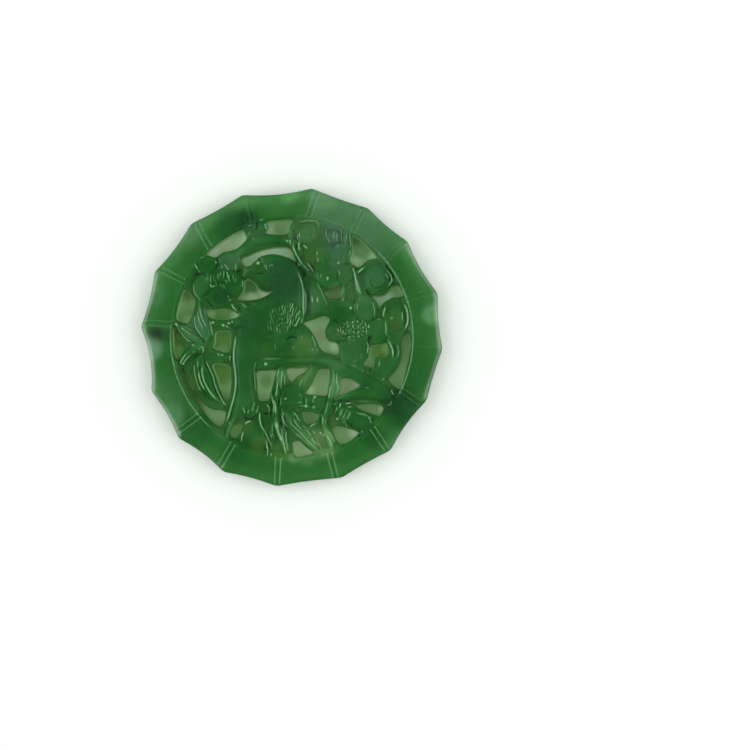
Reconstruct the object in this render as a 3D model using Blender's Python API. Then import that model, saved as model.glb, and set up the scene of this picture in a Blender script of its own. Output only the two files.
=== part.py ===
"""A round openwork pendant of green jade, carved in one piece and lying face up.

A ring of bamboo stem frames a bird that stands on a bough among three
blossoms, two scrolling tendrils and sprays of bamboo leaf.  Everything is one
solid: a flat-backed ground plate, the bamboo rim around it, the carved forms
that rise from it, and the openings sawn through between them.

Lengths in this file are millimetres until a shape is made, where MM turns them
into metres.  X runs to the right of the face, Y to its top and Z up, out of
the face.  The origin is under the middle of the flat back.
"""

import math

import bmesh
import bpy
from mathutils import Matrix

MM = 0.001

# ---------------------------------------------------------------- rim sizes
RIM_INNER_RADIUS = 20.9   # inner edge of the round stem
RIM_HEIGHT = 5.0          # thickness of the pendant, at a joint
RIM_WAIST_DIP = 0.12      # share of that height lost half way along a stem
RIM_SIDES = 8             # facets round the stem
RIM_LIFT = 0.04           # keeps the stem's underside off the flat back

# The 16 joints are spaced by eye.  Each has its direction in degrees from the
# right, anticlockwise, its reach from the middle, and how far the edge of the
# stem that follows it bows in half way to the next joint.
JOINTS = ((-159.2, 26.14, 0.37), (-138.3, 26.34, 0.45), (-117.0, 26.22, 0.30),
          (-96.1, 25.98, 0.18), (-70.5, 25.84, 0.17), (-48.9, 26.02, 0.46),
          (-25.2, 25.80, 0.15), (-4.3, 26.20, 0.30), (16.8, 26.44, 0.42),
          (39.8, 26.10, 0.29), (59.4, 26.08, 0.18), (82.4, 26.14, 0.52),
          (109.2, 26.24, 0.22), (131.5, 26.44, 0.36), (154.5, 26.42, 0.31),
          (176.0, 26.32, 0.74))

# Places along one stem, as shares of its length, and how proud of the plain
# stem its top is there: a fine bead crosses it on each side of every joint.
STEM_STATIONS = ((0.0, 0.0), (0.05, 0.12), (0.10, 0.0), (0.5, 0.0),
                 (0.90, 0.0), (0.95, 0.12))

# ------------------------------------------------------------- ground plate
GROUND_RADIUS = 23.3      # its edge lies hidden inside the rim
GROUND_HEIGHT = 2.1       # level of the sunk ground between the carved forms
FORM_FOOT = 0.5           # carved forms start this far above the back
LOOP_STEP = 1.5          # chord length along the edge of an opening

# ------------------------------------------------------------------ heights
CREST_BIRD = 4.9
CREST_BOUGH = 4.4
CREST_FLOWER = 4.2
CREST_PETAL = 3.7
CREST_LEAF = 3.9
CREST_TENDRIL = 3.7

FORM_STAGGER = 0.004      # each form stands this much higher than the one before
SPAN_CUTS = 2             # straight pieces between two points of a limb's path

# Each opening, as the places its smooth edge passes through.
OPENINGS = {
    "over_first_blossom": ((-14.5, 14.3), (-13.9, 15.7), (-12.0, 17.2), (-9.4, 18.8),
                           (-8.2, 18.2), (-8.0, 16.8), (-9.4, 15.4), (-12.0, 14.7),
                           (-13.2, 13.9)),
    "over_arched_branch": ((-4.2, 20.1), (-2.0, 20.4), (0.1, 20.5), (-0.3, 19.2),
                           (-0.8, 18.0), (-2.6, 17.8), (-4.7, 18.1), (-4.2, 19.0)),
    "over_head": ((-8.8, 13.8), (-7.3, 14.5), (-5.0, 15.4), (-2.2, 15.8), (-0.4, 15.5),
                  (0.4, 14.2), (0.7, 13.1), (-0.8, 13.8), (-3.2, 14.4), (-5.4, 14.0),
                  (-6.3, 13.0), (-7.1, 11.8), (-8.6, 11.4), (-8.8, 12.6)),
    "under_beak": ((-9.4, 6.7), (-8.0, 6.35), (-5.6, 6.7), (-3.5, 7.9), (-5.3, 8.2),
                   (-6.3, 9.3), (-7.4, 10.2), (-8.3, 9.9), (-8.5, 8.2)),
    "beside_second_blossom": ((10.3, 17.6), (11.3, 17.4), (13.0, 16.0), (14.8, 13.9),
                              (13.2, 13.4), (11.9, 12.3), (11.0, 12.3), (10.0, 13.4),
                              (10.4, 15.0)),
    "under_second_blossom": ((5.8, 8.0), (7.4, 8.4), (8.7, 9.2), (8.8, 8.0), (8.2, 6.9),
                             (7.0, 6.7), (6.1, 7.0)),
    "between_scrolls": ((12.8, 8.3), (14.0, 7.4), (16.0, 7.5), (17.2, 8.7), (18.4, 9.0),
                        (19.2, 7.2), (17.4, 6.8), (16.0, 6.0), (15.1, 4.8), (14.6, 6.2),
                        (13.4, 7.2)),
    "right_of_bird": ((2.0, 2.5), (3.5, 3.1), (5.6, 3.8), (6.5, 2.9), (5.8, 1.2),
                      (6.3, -0.4), (7.9, -1.0), (8.0, -3.0), (6.0, -2.7), (4.8, -1.9),
                      (4.2, -0.4), (3.1, 1.3)),
    "under_third_blossom": ((13.6, -1.5), (15.0, -1.2), (16.4, -1.0), (16.7, -2.6),
                            (16.2, -3.5), (14.6, -3.4), (14.2, -5.2), (12.4, -4.8),
                            (13.2, -3.3)),
    "right_margin": ((20.1, 1.0), (19.0, -0.4), (18.9, -3.4), (18.0, -5.6), (16.8, -7.1),
                     (17.2, -8.0), (18.8, -8.9), (19.6, -6.4), (20.4, -3.0), (20.6, -0.8)),
    "left_margin": ((-18.6, 8.4), (-17.2, 7.1), (-16.8, 5.8), (-17.5, 3.4), (-18.2, 2.4),
                    (-20.0, 3.1), (-19.9, 5.0), (-19.3, 7.0)),
    "under_first_blossom": ((-14.7, 4.6), (-13.4, 4.9), (-11.0, 5.0), (-9.1, 3.8),
                            (-10.8, 3.1), (-13.2, 3.1), (-14.7, 3.6)),
    "left_of_leaves": ((-20.6, 1.8), (-19.6, 1.1), (-18.6, -0.6), (-18.8, -2.2),
                       (-19.8, -3.9), (-20.5, -2.6), (-20.7, -0.6)),
    "left_of_trunk": ((-13.2, 0.8), (-10.8, 1.0), (-10.6, -1.0), (-10.9, -2.5),
                      (-12.2, -2.6), (-13.5, -1.8)),
    "between_leaf_and_trunk": ((-13.8, -4.6), (-11.1, -4.8), (-10.6, -6.5), (-10.6, -9.0),
                               (-11.3, -11.2), (-12.4, -9.2), (-13.2, -6.8)),
    "lower_left_margin": ((-11.5, -13.1), (-11.9, -14.9), (-12.9, -15.4), (-14.8, -13.5),
                          (-16.8, -10.6), (-18.5, -7.8), (-19.4, -5.3), (-18.7, -5.4),
                          (-17.6, -8.0), (-16.2, -10.4), (-14.2, -12.2), (-12.2, -12.6)),
    "left_of_pod": ((-10.0, -15.1), (-8.7, -14.9), (-8.6, -15.9), (-9.6, -17.5),
                    (-10.7, -16.9)),
    "right_of_trunk": ((-6.0, -6.0), (-4.4, -5.7), (-2.7, -5.8), (-3.1, -7.6),
                       (-3.6, -9.6), (-4.2, -10.9), (-5.5, -10.9), (-6.0, -9.0)),
    "under_bough_left": ((-0.9, -5.4), (1.0, -5.2), (2.9, -5.1), (2.2, -6.1),
                         (0.9, -6.9), (-0.1, -7.8), (-0.8, -6.9)),
    "under_bough_middle": ((4.7, -5.9), (6.4, -5.9), (6.5, -7.4), (6.1, -9.6),
                           (5.0, -10.2), (2.5, -9.8), (3.3, -8.1)),
    "under_bough_right": ((8.4, -7.2), (9.8, -7.0), (11.2, -7.7), (11.8, -8.4),
                          (10.9, -9.1), (9.2, -9.8), (7.8, -10.4), (8.2, -8.8)),
    "lower_right": ((11.0, -11.7), (13.0, -11.5), (15.2, -11.6), (15.9, -12.3),
                    (15.2, -13.6), (13.6, -13.2), (12.0, -12.6)),
    "beside_culm": ((7.3, -15.4), (9.0, -15.5), (11.5, -16.4), (10.8, -17.5),
                    (9.4, -18.4), (8.2, -18.4), (7.4, -16.9)),
    "bottom_margin": ((0.1, -18.1), (1.3, -17.9), (2.4, -18.9), (3.8, -20.1),
                      (2.4, -20.6), (0.6, -20.8), (0.1, -19.7)),
    "over_small_leaf": ((1.7, -13.1), (3.2, -12.9), (4.6, -13.4), (4.2, -14.5),
                        (2.6, -15.1)),
}


def spline_point(before, start, end, after, share):
    """Catmull-Rom: the point at a share of the way from start to end."""
    square, cube = share * share, share * share * share
    return tuple(
        0.5 * (2 * b + (c - a) * share + (2 * a - 5 * b + 4 * c - d) * square
               + (3 * b - a - 3 * c + d) * cube)
        for a, b, c, d in zip(before, start, end, after))


def smooth_loop(points, step):
    """A closed smooth curve through the points, cut into chords of about step."""
    loop = []
    count = len(points)
    for i in range(count):
        before, start = points[i - 1], points[i]
        end, after = points[(i + 1) % count], points[(i + 2) % count]
        cuts = max(1, round(math.dist(start, end) / step))
        loop += [spline_point(before, start, end, after, k / cuts) for k in range(cuts)]
    return loop


def smooth_path(points, cuts):
    """An open smooth curve through the points, each span cut into equal shares."""
    ends = [points[0], *points, points[-1]]
    path = [spline_point(*ends[i:i + 4], k / cuts)
            for i in range(len(points) - 1) for k in range(cuts)]
    return path + [points[-1]]


def as_mesh_object(curve_object):
    """Replace a curve object by a mesh of the same shape, with its caps welded."""
    name = curve_object.name
    curve = curve_object.data
    graph = bpy.context.evaluated_depsgraph_get()
    mesh = bpy.data.meshes.new_from_object(curve_object.evaluated_get(graph))
    place = curve_object.matrix_world.copy()
    bpy.data.objects.remove(curve_object)
    bpy.data.curves.remove(curve)
    weld(mesh)
    mesh.transform(place)
    mesh.name = name
    return bpy.data.objects.new(name, mesh)


def weld(mesh):
    """Merge a curve's loose caps into its sides and turn its faces outwards."""
    shape = bmesh.new()
    shape.from_mesh(mesh)
    bmesh.ops.remove_doubles(shape, verts=shape.verts, dist=0.002 * MM)
    bmesh.ops.recalc_face_normals(shape, faces=shape.faces)
    shape.to_mesh(mesh)
    shape.free()


def tube(name, path, radii, sides, cyclic, rise, centre_height):
    """A round rod along a flat path, its section stretched upwards by rise."""
    curve = bpy.data.curves.new(name, "CURVE")
    curve.dimensions = "3D"
    curve.twist_mode = "Z_UP"
    curve.bevel_depth = 1.0
    curve.bevel_resolution = (sides - 4) // 2
    curve.use_fill_caps = not cyclic
    spline = curve.splines.new("POLY")
    spline.points.add(len(path) - 1)
    spline.use_cyclic_u = cyclic
    for point, (x, y), radius in zip(spline.points, path, radii):
        point.co = (x, y, 0.0, 1.0)
        point.radius = radius
    rod = bpy.data.objects.new(name, curve)
    bpy.context.scene.collection.objects.link(rod)
    rod.matrix_world = (Matrix.Translation((0, 0, centre_height * MM))
                        @ Matrix.Diagonal((MM, MM, rise * MM, 1)))
    bpy.context.view_layer.update()
    return as_mesh_object(rod)


# ------------------------------------------------------- kinds of carved form
def limb(name, points, widths, crest, sides=6):
    """A branch, stem or body: a round rod on a smooth path, of changing width."""
    path = smooth_path(points, SPAN_CUTS)
    spread = smooth_path([(width,) for width in widths], SPAN_CUTS)
    radii = [width / 2 for (width,) in spread]
    rise = (crest - FORM_FOOT) / max(widths)
    return tube(name, path, radii, sides, False, rise, (crest + FORM_FOOT) / 2)


def leaf(name, root, tip, width, bow=0.0, crest=CREST_LEAF, cuts=5):
    """A pointed leaf with a sharp midrib, bowed sideways from root to tip."""
    along = (tip[0] - root[0], tip[1] - root[1])
    path, radii = [], []
    for k in range(cuts + 1):
        share = k / cuts
        lean = 4 * bow * share * (1 - share)
        path.append((root[0] + along[0] * share - along[1] * lean,
                     root[1] + along[1] * share + along[0] * lean))
        radii.append(width / 2 * max(0.12, math.sin(math.pi * share ** 0.85)))
    rise = (crest - FORM_FOOT) / width
    return tube(name, path, radii, 4, False, rise, (crest + FORM_FOOT) / 2)


def dome(name, centre, radii, turn=0.0, crest=CREST_FLOWER, facets=9):
    """A rounded boss: petals, buds, heads and knots."""
    shape = bmesh.new()
    bmesh.ops.create_uvsphere(shape, u_segments=facets, v_segments=6, radius=1.0)
    rise = (crest - FORM_FOOT) / 2
    size = Matrix.Diagonal((radii[0] * MM, radii[1] * MM, rise * MM, 1))
    spin = Matrix.Rotation(math.radians(turn), 4, "Z")
    place = Matrix.Translation((centre[0] * MM, centre[1] * MM, (FORM_FOOT + rise) * MM))
    shape.transform(place @ spin @ size)
    mesh = bpy.data.meshes.new(name)
    shape.to_mesh(mesh)
    shape.free()
    return bpy.data.objects.new(name, mesh)


def coil(name, centre, radii, start, turns, width, crest):
    """A tendril's curl: a rod on a spiral that winds in to its eye."""
    cuts = round(8 * abs(turns))
    path = []
    for k in range(cuts + 1):
        share = k / cuts
        angle = math.radians(start + 360 * turns * share)
        reach = 1 - 0.8 * share
        path.append((centre[0] + radii[0] * reach * math.cos(angle),
                     centre[1] + radii[1] * reach * math.sin(angle)))
    thin = [width / 2 * (1 - 0.35 * k / cuts) for k in range(cuts + 1)]
    rise = (crest - FORM_FOOT) / width
    return tube(name, path, thin, 6, False, rise, (crest + FORM_FOOT) / 2)


# -------------------------------------------------------------- the carving
def on_circle(degrees, radius):
    """The place at a direction and a distance from the middle."""
    return (radius * math.cos(math.radians(degrees)), radius * math.sin(math.radians(degrees)))


def rim_stations():
    """Direction, outer radius, half height and bead of each section round the rim."""
    for i, (degrees, reach, waist) in enumerate(JOINTS):
        start = on_circle(degrees, reach)
        end = on_circle(*JOINTS[(i + 1) % len(JOINTS)][:2])
        for share, bead in STEM_STATIONS:
            x, y = (a + (b - a) * share for a, b in zip(start, end))
            bow = 4 * share * (1 - share)
            yield (math.atan2(y, x), math.hypot(x, y) - waist * bow,
                   RIM_HEIGHT / 2 * (1 - RIM_WAIST_DIP * bow), bead)


def bamboo_rim():
    """Sixteen stems end to end: waisted between joints, beaded at each joint."""
    stations = list(rim_stations())

    # A plain ring with one section for each station is bent to the stations.
    bpy.ops.mesh.primitive_torus_add(major_segments=len(stations), major_radius=1.0,
                                     minor_segments=RIM_SIDES, minor_radius=0.5)
    ring = bpy.context.object
    ring.name = ring.data.name = "rim"
    for vertex in ring.data.vertices:
        x, y, z = vertex.co
        order = round(math.atan2(y, x) / math.tau * len(stations)) % len(stations)
        around, outer, half_height, bead = stations[order]
        middle, half_width = (outer + RIM_INNER_RADIUS) / 2, (outer - RIM_INNER_RADIUS) / 2
        reach = middle + half_width * (math.hypot(x, y) - 1.0) / 0.5
        height = (half_height + bead * (z > 0)) * z / 0.5
        vertex.co = (reach * math.cos(around) * MM, reach * math.sin(around) * MM,
                     (RIM_HEIGHT / 2 + RIM_LIFT + height) * MM)
    return unlinked(ring)


def unlinked(item):
    """Take a new primitive out of the collection that it was made in."""
    for group in list(item.users_collection):
        group.objects.unlink(item)
    return item


def boughs():
    """The trunk, the bough the bird stands on and the branch that arches over it."""
    yield limb("trunk", ((-7.3, 2.0), (-8.0, -3.2), (-8.2, -8.5), (-8.9, -12.8),
                         (-10.9, -16.6)), (6.0, 4.6, 3.6, 4.4, 2.0), CREST_BOUGH, 8)
    yield limb("bough", ((-7.0, -4.4), (-2.0, -4.3), (3.0, -4.1), (7.0, -4.8),
                         (11.5, -7.6), (15.0, -9.4), (18.8, -11.6)),
               (2.2, 2.0, 2.0, 3.0, 5.0, 5.0, 4.0), CREST_BOUGH, 8)
    yield limb("arched_branch", ((-9.5, 14.2), (-7.0, 16.1), (-4.5, 16.9), (-1.8, 17.0),
                                 (0.4, 16.4)), (1.8, 2.2, 2.2, 2.0, 1.6), CREST_TENDRIL)
    yield limb("lower_right_branch", ((8.6, -11.4), (11.6, -14.2), (17.2, -13.4)),
               (3.4, 3.4, 4.0), CREST_TENDRIL)
    yield limb("strut_slanting", ((3.5, -4.6), (1.0, -9.4)), (2.4, 2.4), 3.4)
    yield limb("strut_level", ((0.5, -11.2), (6.0, -11.5)), (3.0, 2.4), 3.5)
    yield limb("left_twig_upper", ((-15.0, 2.4), (-8.4, 2.2)), (1.6, 1.6), 3.4)
    yield limb("left_twig_lower", ((-15.0, -3.3), (-9.8, -3.6)), (1.7, 1.9), 3.4)


def bird():
    """The bird, looking back over its shoulder to the left."""
    yield limb("bird_body", ((-3.6, 11.2), (-1.6, 10.7), (-0.8, 8.4), (-1.0, 5.6),
                             (-2.8, 3.5), (-5.8, 3.4), (-9.6, 3.9)),
               (5.8, 6.0, 5.8, 6.2, 6.2, 5.4, 3.4), CREST_BIRD, 8)
    yield dome("bird_head", (-3.7, 11.3), (3.0, 3.0), 0, CREST_BIRD, 12)
    yield limb("bird_beak", ((-5.6, 11.3), (-8.6, 10.9)), (2.4, 1.0), 3.9)
    yield dome("bird_wing", (-1.7, 3.2), (3.6, 2.5), 18, RIM_HEIGHT, 12)
    yield leaf("tail_feather", (-5.0, 1.3), (-10.2, 1.9), 2.2)
    yield limb("bird_back", ((0.9, 12.4), (1.9, 9.2), (2.2, 6.0), (1.8, 2.6)),
               (0.9, 0.9, 0.9, 0.9), 4.6)
    yield limb("bird_leg", ((-2.8, 1.0), (-2.8, -3.2)), (1.1, 1.1), 3.9)
    yield leaf("leaf_at_foot", (0.2, 1.8), (4.4, -2.2), 2.6)
    yield limb("curl_at_foot", ((-1.4, -0.8), (0.2, 0.4), (1.4, -0.3)), (1.2, 1.2, 0.8), 3.5)


def blossoms():
    """Three five-petalled blossoms round domed stamen discs, with their buds."""
    flowers = (
        ((-12.9, 10.4), (2.1, 1.9), ((-2.0, 2.1, 2.4, 2.2), (2.1, 2.6, 2.3, 2.2),
                                     (2.8, -0.8, 2.3, 2.0), (0.6, -2.9, 2.3, 2.5),
                                     (-2.5, -1.6, 2.3, 2.5))),
        ((7.0, 13.0), (1.6, 1.4), ((-1.6, 1.8, 2.0, 1.9), (1.8, 1.7, 2.0, 1.9),
                                   (2.2, -1.3, 2.0, 1.9), (-0.2, -2.6, 2.1, 1.9),
                                   (-2.2, -0.8, 1.9, 1.9))),
        ((11.0, 1.6), (2.7, 1.6), ((1.4, 3.6, 2.3, 2.4), (-2.6, 2.7, 2.5, 2.3),
                                   (-3.1, -0.5, 2.3, 2.3), (-0.2, -3.5, 2.7, 2.6),
                                   (3.6, 0.1, 2.4, 2.5))),
    )
    for number, (centre, disc, petals) in enumerate(flowers, start=1):
        yield dome(f"blossom_{number}_disc", centre, disc, 0, CREST_BOUGH)
        for across, up, half_width, half_height in petals:
            yield dome(f"blossom_{number}_petal", (centre[0] + across, centre[1] + up),
                       (half_width, half_height), 0, CREST_PETAL)
    yield dome("top_bud", (7.3, 17.5), (1.6, 1.8), 0, CREST_FLOWER)
    yield leaf("top_bud_sepal_left", (6.0, 14.6), (5.0, 19.6), 2.2)
    yield leaf("top_bud_sepal_right", (8.6, 14.2), (9.3, 19.2), 2.2)
    yield dome("bud_on_branch", (-5.3, 19.2), (1.2, 1.2), 0, CREST_LEAF, 8)
    yield dome("twig_bud", (-7.1, 19.0), (1.4, 1.0), 30, CREST_TENDRIL, 8)
    yield dome("pod", (-6.3, -17.3), (2.4, 3.4), 0, CREST_LEAF)
    yield dome("trunk_foot", (-7.4, -12.9), (1.9, 1.6), 0, CREST_BOUGH, 8)
    yield dome("leaf_knot", (0.0, -10.3), (2.4, 2.2), 0, CREST_LEAF)


def tendrils():
    """Scrolls, curling tendrils and the stems that tie them to rim and bough."""
    yield dome("top_scroll", (2.6, 18.2), (2.4, 2.3), 0, 3.2)
    yield coil("top_scroll_coil", (2.6, 18.1), (2.0, 2.0), 250, 1.1, 1.1, CREST_TENDRIL)
    yield dome("scroll_a", (14.8, 10.2), (2.7, 2.7), 0, 3.1)
    yield coil("scroll_a_coil", (14.8, 10.2), (2.3, 2.3), 150, -1.5, 1.1, CREST_FLOWER)
    yield dome("scroll_b", (18.0, 3.7), (2.4, 2.9), 0, 3.1)
    yield coil("scroll_b_coil", (18.0, 3.7), (2.0, 2.5), 160, -1.3, 1.1, CREST_FLOWER)
    yield limb("stem_to_scroll_a", ((9.9, 13.6), (10.9, 11.0), (11.9, 7.4), (12.6, 5.4)),
               (1.3, 1.5, 1.3, 1.2), CREST_TENDRIL)
    yield limb("scroll_a_tail", ((11.0, 11.6), (13.0, 12.4)), (1.6, 1.2), CREST_TENDRIL)
    yield limb("top_stem_left", ((-0.5, 18.6), (0.2, 15.6), (1.5, 12.9), (3.0, 10.4)),
               (1.3, 1.4, 1.4, 1.2), CREST_TENDRIL)
    yield limb("top_stem_right", ((1.6, 17.0), (1.6, 14.6), (1.1, 12.6)), (1.2, 1.2, 1.0),
               CREST_LEAF)
    yield leaf("dark_leaf", (1.6, 13.6), (6.4, 9.2), 3.1)
    yield leaf("leaf_by_bird", (4.3, 10.4), (4.5, 3.2), 3.6)
    yield limb("small_twig", ((8.8, 9.0), (8.8, 6.4), (7.4, 5.4)), (1.2, 1.3, 1.4), 3.5)
    yield limb("right_tendril", ((15.6, 3.4), (16.5, 0.6), (17.5, -2.4), (17.0, -4.6),
                                 (15.2, -6.6)), (1.4, 1.5, 2.2, 2.8, 3.0), CREST_TENDRIL)
    yield limb("culm", ((7.5, -5.2), (7.2, -9.0), (6.2, -12.4), (5.5, -14.6), (6.2, -16.6),
                        (7.4, -19.8)), (1.6, 1.5, 1.4, 1.2, 1.3, 1.3), CREST_LEAF)


def leaves():
    """Bamboo sprays: one beside the trunk and one below the bough."""
    yield leaf("spray_upper", (-15.3, -1.6), (-16.6, 6.8), 3.6, 0.03)
    yield leaf("spray_upper_right", (-15.6, -1.6), (-13.7, 3.6), 2.0, -0.08)
    yield leaf("spray_left_upper", (-15.2, -1.5), (-21.0, 3.1), 2.3, 0.05)
    yield leaf("spray_left_lower", (-15.6, -1.8), (-20.6, -5.2), 2.2, -0.06)
    yield leaf("spray_lower", (-16.0, -1.8), (-10.8, -12.6), 4.4, -0.07)
    yield leaf("spray_behind", (-18.0, -3.0), (-11.2, -13.3), 3.0, -0.10, 3.2)
    yield limb("blade_stalk", ((-1.8, -4.9), (-2.7, -9.4), (-2.8, -15.2)), (1.9, 2.0, 1.8),
               CREST_LEAF)
    yield leaf("blade_middle", (-2.8, -13.2), (-0.9, -20.9), 1.6)
    yield leaf("blade_inner", (-3.2, -13.2), (-3.4, -20.9), 1.7)
    yield leaf("blade_left", (-5.9, -11.0), (-3.4, -20.9), 1.6, -0.05)
    yield leaf("blade_right", (-1.8, -12.0), (-0.7, -20.9), 1.3)
    yield leaf("broad_leaf", (-1.4, -11.9), (5.6, -20.6), 3.8)
    yield leaf("broad_leaf_behind", (-1.8, -12.6), (2.6, -18.6), 2.0, 0.02, 3.4)
    yield dome("small_leaf", (4.6, -16.2), (2.0, 1.5), -15, 3.6, 8)
    yield leaf("leaf_by_culm", (7.6, -10.4), (9.8, -15.4), 2.8)
    yield leaf("leaf_lower_right", (9.6, -12.2), (15.6, -14.2), 2.2)


def openings():
    """A cutter that passes right through at every opening."""
    curve = bpy.data.curves.new("openings", "CURVE")
    curve.dimensions = "2D"
    curve.fill_mode = "BOTH"
    curve.extrude = RIM_HEIGHT
    for points in OPENINGS.values():
        loop = smooth_loop(points, LOOP_STEP)
        spline = curve.splines.new("POLY")
        spline.points.add(len(loop) - 1)
        spline.use_cyclic_u = True
        for point, (x, y) in zip(spline.points, loop):
            point.co = (x, y, 0.0, 1.0)
    cutter = bpy.data.objects.new("openings", curve)
    bpy.context.scene.collection.objects.link(cutter)
    cutter.matrix_world = Matrix.Diagonal((MM, MM, MM, 1))
    bpy.context.view_layer.update()
    return as_mesh_object(cutter)


def ground_plate():
    """The flat-backed ground that the forms stand on, out to inside the rim."""
    bpy.ops.mesh.primitive_cylinder_add(vertices=48, radius=GROUND_RADIUS * MM,
                                        depth=GROUND_HEIGHT * MM,
                                        location=(0, 0, GROUND_HEIGHT / 2 * MM))
    plate = bpy.context.object
    plate.data.transform(plate.matrix_world)
    plate.matrix_world = Matrix.Identity(4)
    return unlinked(plate)


# ----------------------------------------------------------------- assembly
def jade():
    """Polished green jade."""
    material = bpy.data.materials.new("jade")
    material.use_nodes = True
    shader = material.node_tree.nodes["Principled BSDF"]
    shader.inputs["Base Color"].default_value = (0.022, 0.115, 0.030, 1)
    shader.inputs["Roughness"].default_value = 0.2
    shader.inputs["Metallic"].default_value = 0.0
    return material


def collection(name, objects):
    """Put objects into a new collection of the scene."""
    group = bpy.data.collections.new(name)
    bpy.context.scene.collection.children.link(group)
    for item in objects:
        group.objects.link(item)
    return group


def stagger(forms):
    """Lift each form a hair more than the last, so that no two share a level."""
    for order, form in enumerate(forms):
        form.data.transform(Matrix.Translation((0, 0, FORM_STAGGER * order * MM)))
    return forms


def as_guide(group):
    """Keep a collection's shapes out of the finished object."""
    for item in group.objects:
        item.hide_render = True
        item.display_type = "WIRE"


def build():
    for item in list(bpy.data.objects):
        bpy.data.objects.remove(item)

    plaque = ground_plate()
    plaque.name = plaque.data.name = "jade_plaque"
    plaque.data.materials.append(jade())
    collection("jade_pendant", [plaque])

    forms = collection("carved_forms", stagger([bamboo_rim(), *boughs(), *bird(),
                                                *blossoms(), *tendrils(), *leaves()]))
    cutters = collection("cutters", [openings()])
    as_guide(forms)
    as_guide(cutters)

    # So many forms cross one another that only the MANIFOLD solver keeps them whole.
    raised = plaque.modifiers.new("carved forms", "BOOLEAN")
    raised.solver = "MANIFOLD"
    raised.operation = "UNION"
    raised.operand_type = "COLLECTION"
    raised.collection = forms

    pierced = plaque.modifiers.new("openings", "BOOLEAN")
    pierced.solver = "MANIFOLD"
    pierced.operation = "DIFFERENCE"
    pierced.object = cutters.objects[0]


build()
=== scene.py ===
import math

import bpy
import numpy as np
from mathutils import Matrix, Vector
from mathutils.geometry import delaunay_2d_cdt


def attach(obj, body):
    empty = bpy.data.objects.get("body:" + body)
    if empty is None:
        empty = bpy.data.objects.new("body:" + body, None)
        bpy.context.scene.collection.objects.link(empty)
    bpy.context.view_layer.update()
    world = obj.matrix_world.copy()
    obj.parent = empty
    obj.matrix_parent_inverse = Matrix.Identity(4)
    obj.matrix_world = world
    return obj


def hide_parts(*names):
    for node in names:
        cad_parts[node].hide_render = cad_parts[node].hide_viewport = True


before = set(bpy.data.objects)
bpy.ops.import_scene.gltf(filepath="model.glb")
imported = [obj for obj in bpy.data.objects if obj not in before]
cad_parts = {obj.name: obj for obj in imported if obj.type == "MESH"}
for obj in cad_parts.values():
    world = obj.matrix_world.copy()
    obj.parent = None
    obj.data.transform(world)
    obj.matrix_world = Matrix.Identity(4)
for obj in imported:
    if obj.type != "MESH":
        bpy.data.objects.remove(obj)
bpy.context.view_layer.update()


# ======================================================================= plan
# The pendant is one slice of nephrite jade, sawn to a round of sixteen bamboo
# stems and pierced right through.  Its plan is worked out on a fine square grid,
# as the distance of each place into the stone from the nearest edge.
# Lengths are in millimetres until the mesh is made.
GRID_STEP = 0.145         # spacing of the carved surface's points
PLATE_RADIUS = 21.6       # the gridded plate inside, where the round rim takes over
EDGE_REACH = 2.5          # an edge further off than this doesn't matter to a place
SPAN_POINTS = 6           # points on a smooth line from one of its places to the next
TINY = 1e-12              # stands for the length of a step that has none

# Direction of each joint in degrees from the right, its reach from the middle,
# and how far the edge of the stem that follows it bows in.
JOINTS = ((-159.2, 26.14, 0.37), (-138.3, 26.34, 0.45), (-117.0, 26.22, 0.30),
          (-96.1, 25.98, 0.18), (-70.5, 25.84, 0.17), (-48.9, 26.02, 0.46),
          (-25.2, 25.80, 0.15), (-4.3, 26.20, 0.30), (16.8, 26.44, 0.42),
          (39.8, 26.10, 0.29), (59.4, 26.08, 0.18), (82.4, 26.14, 0.52),
          (109.2, 26.24, 0.22), (131.5, 26.44, 0.36), (154.5, 26.42, 0.31),
          (176.0, 26.32, 0.74))

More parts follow.
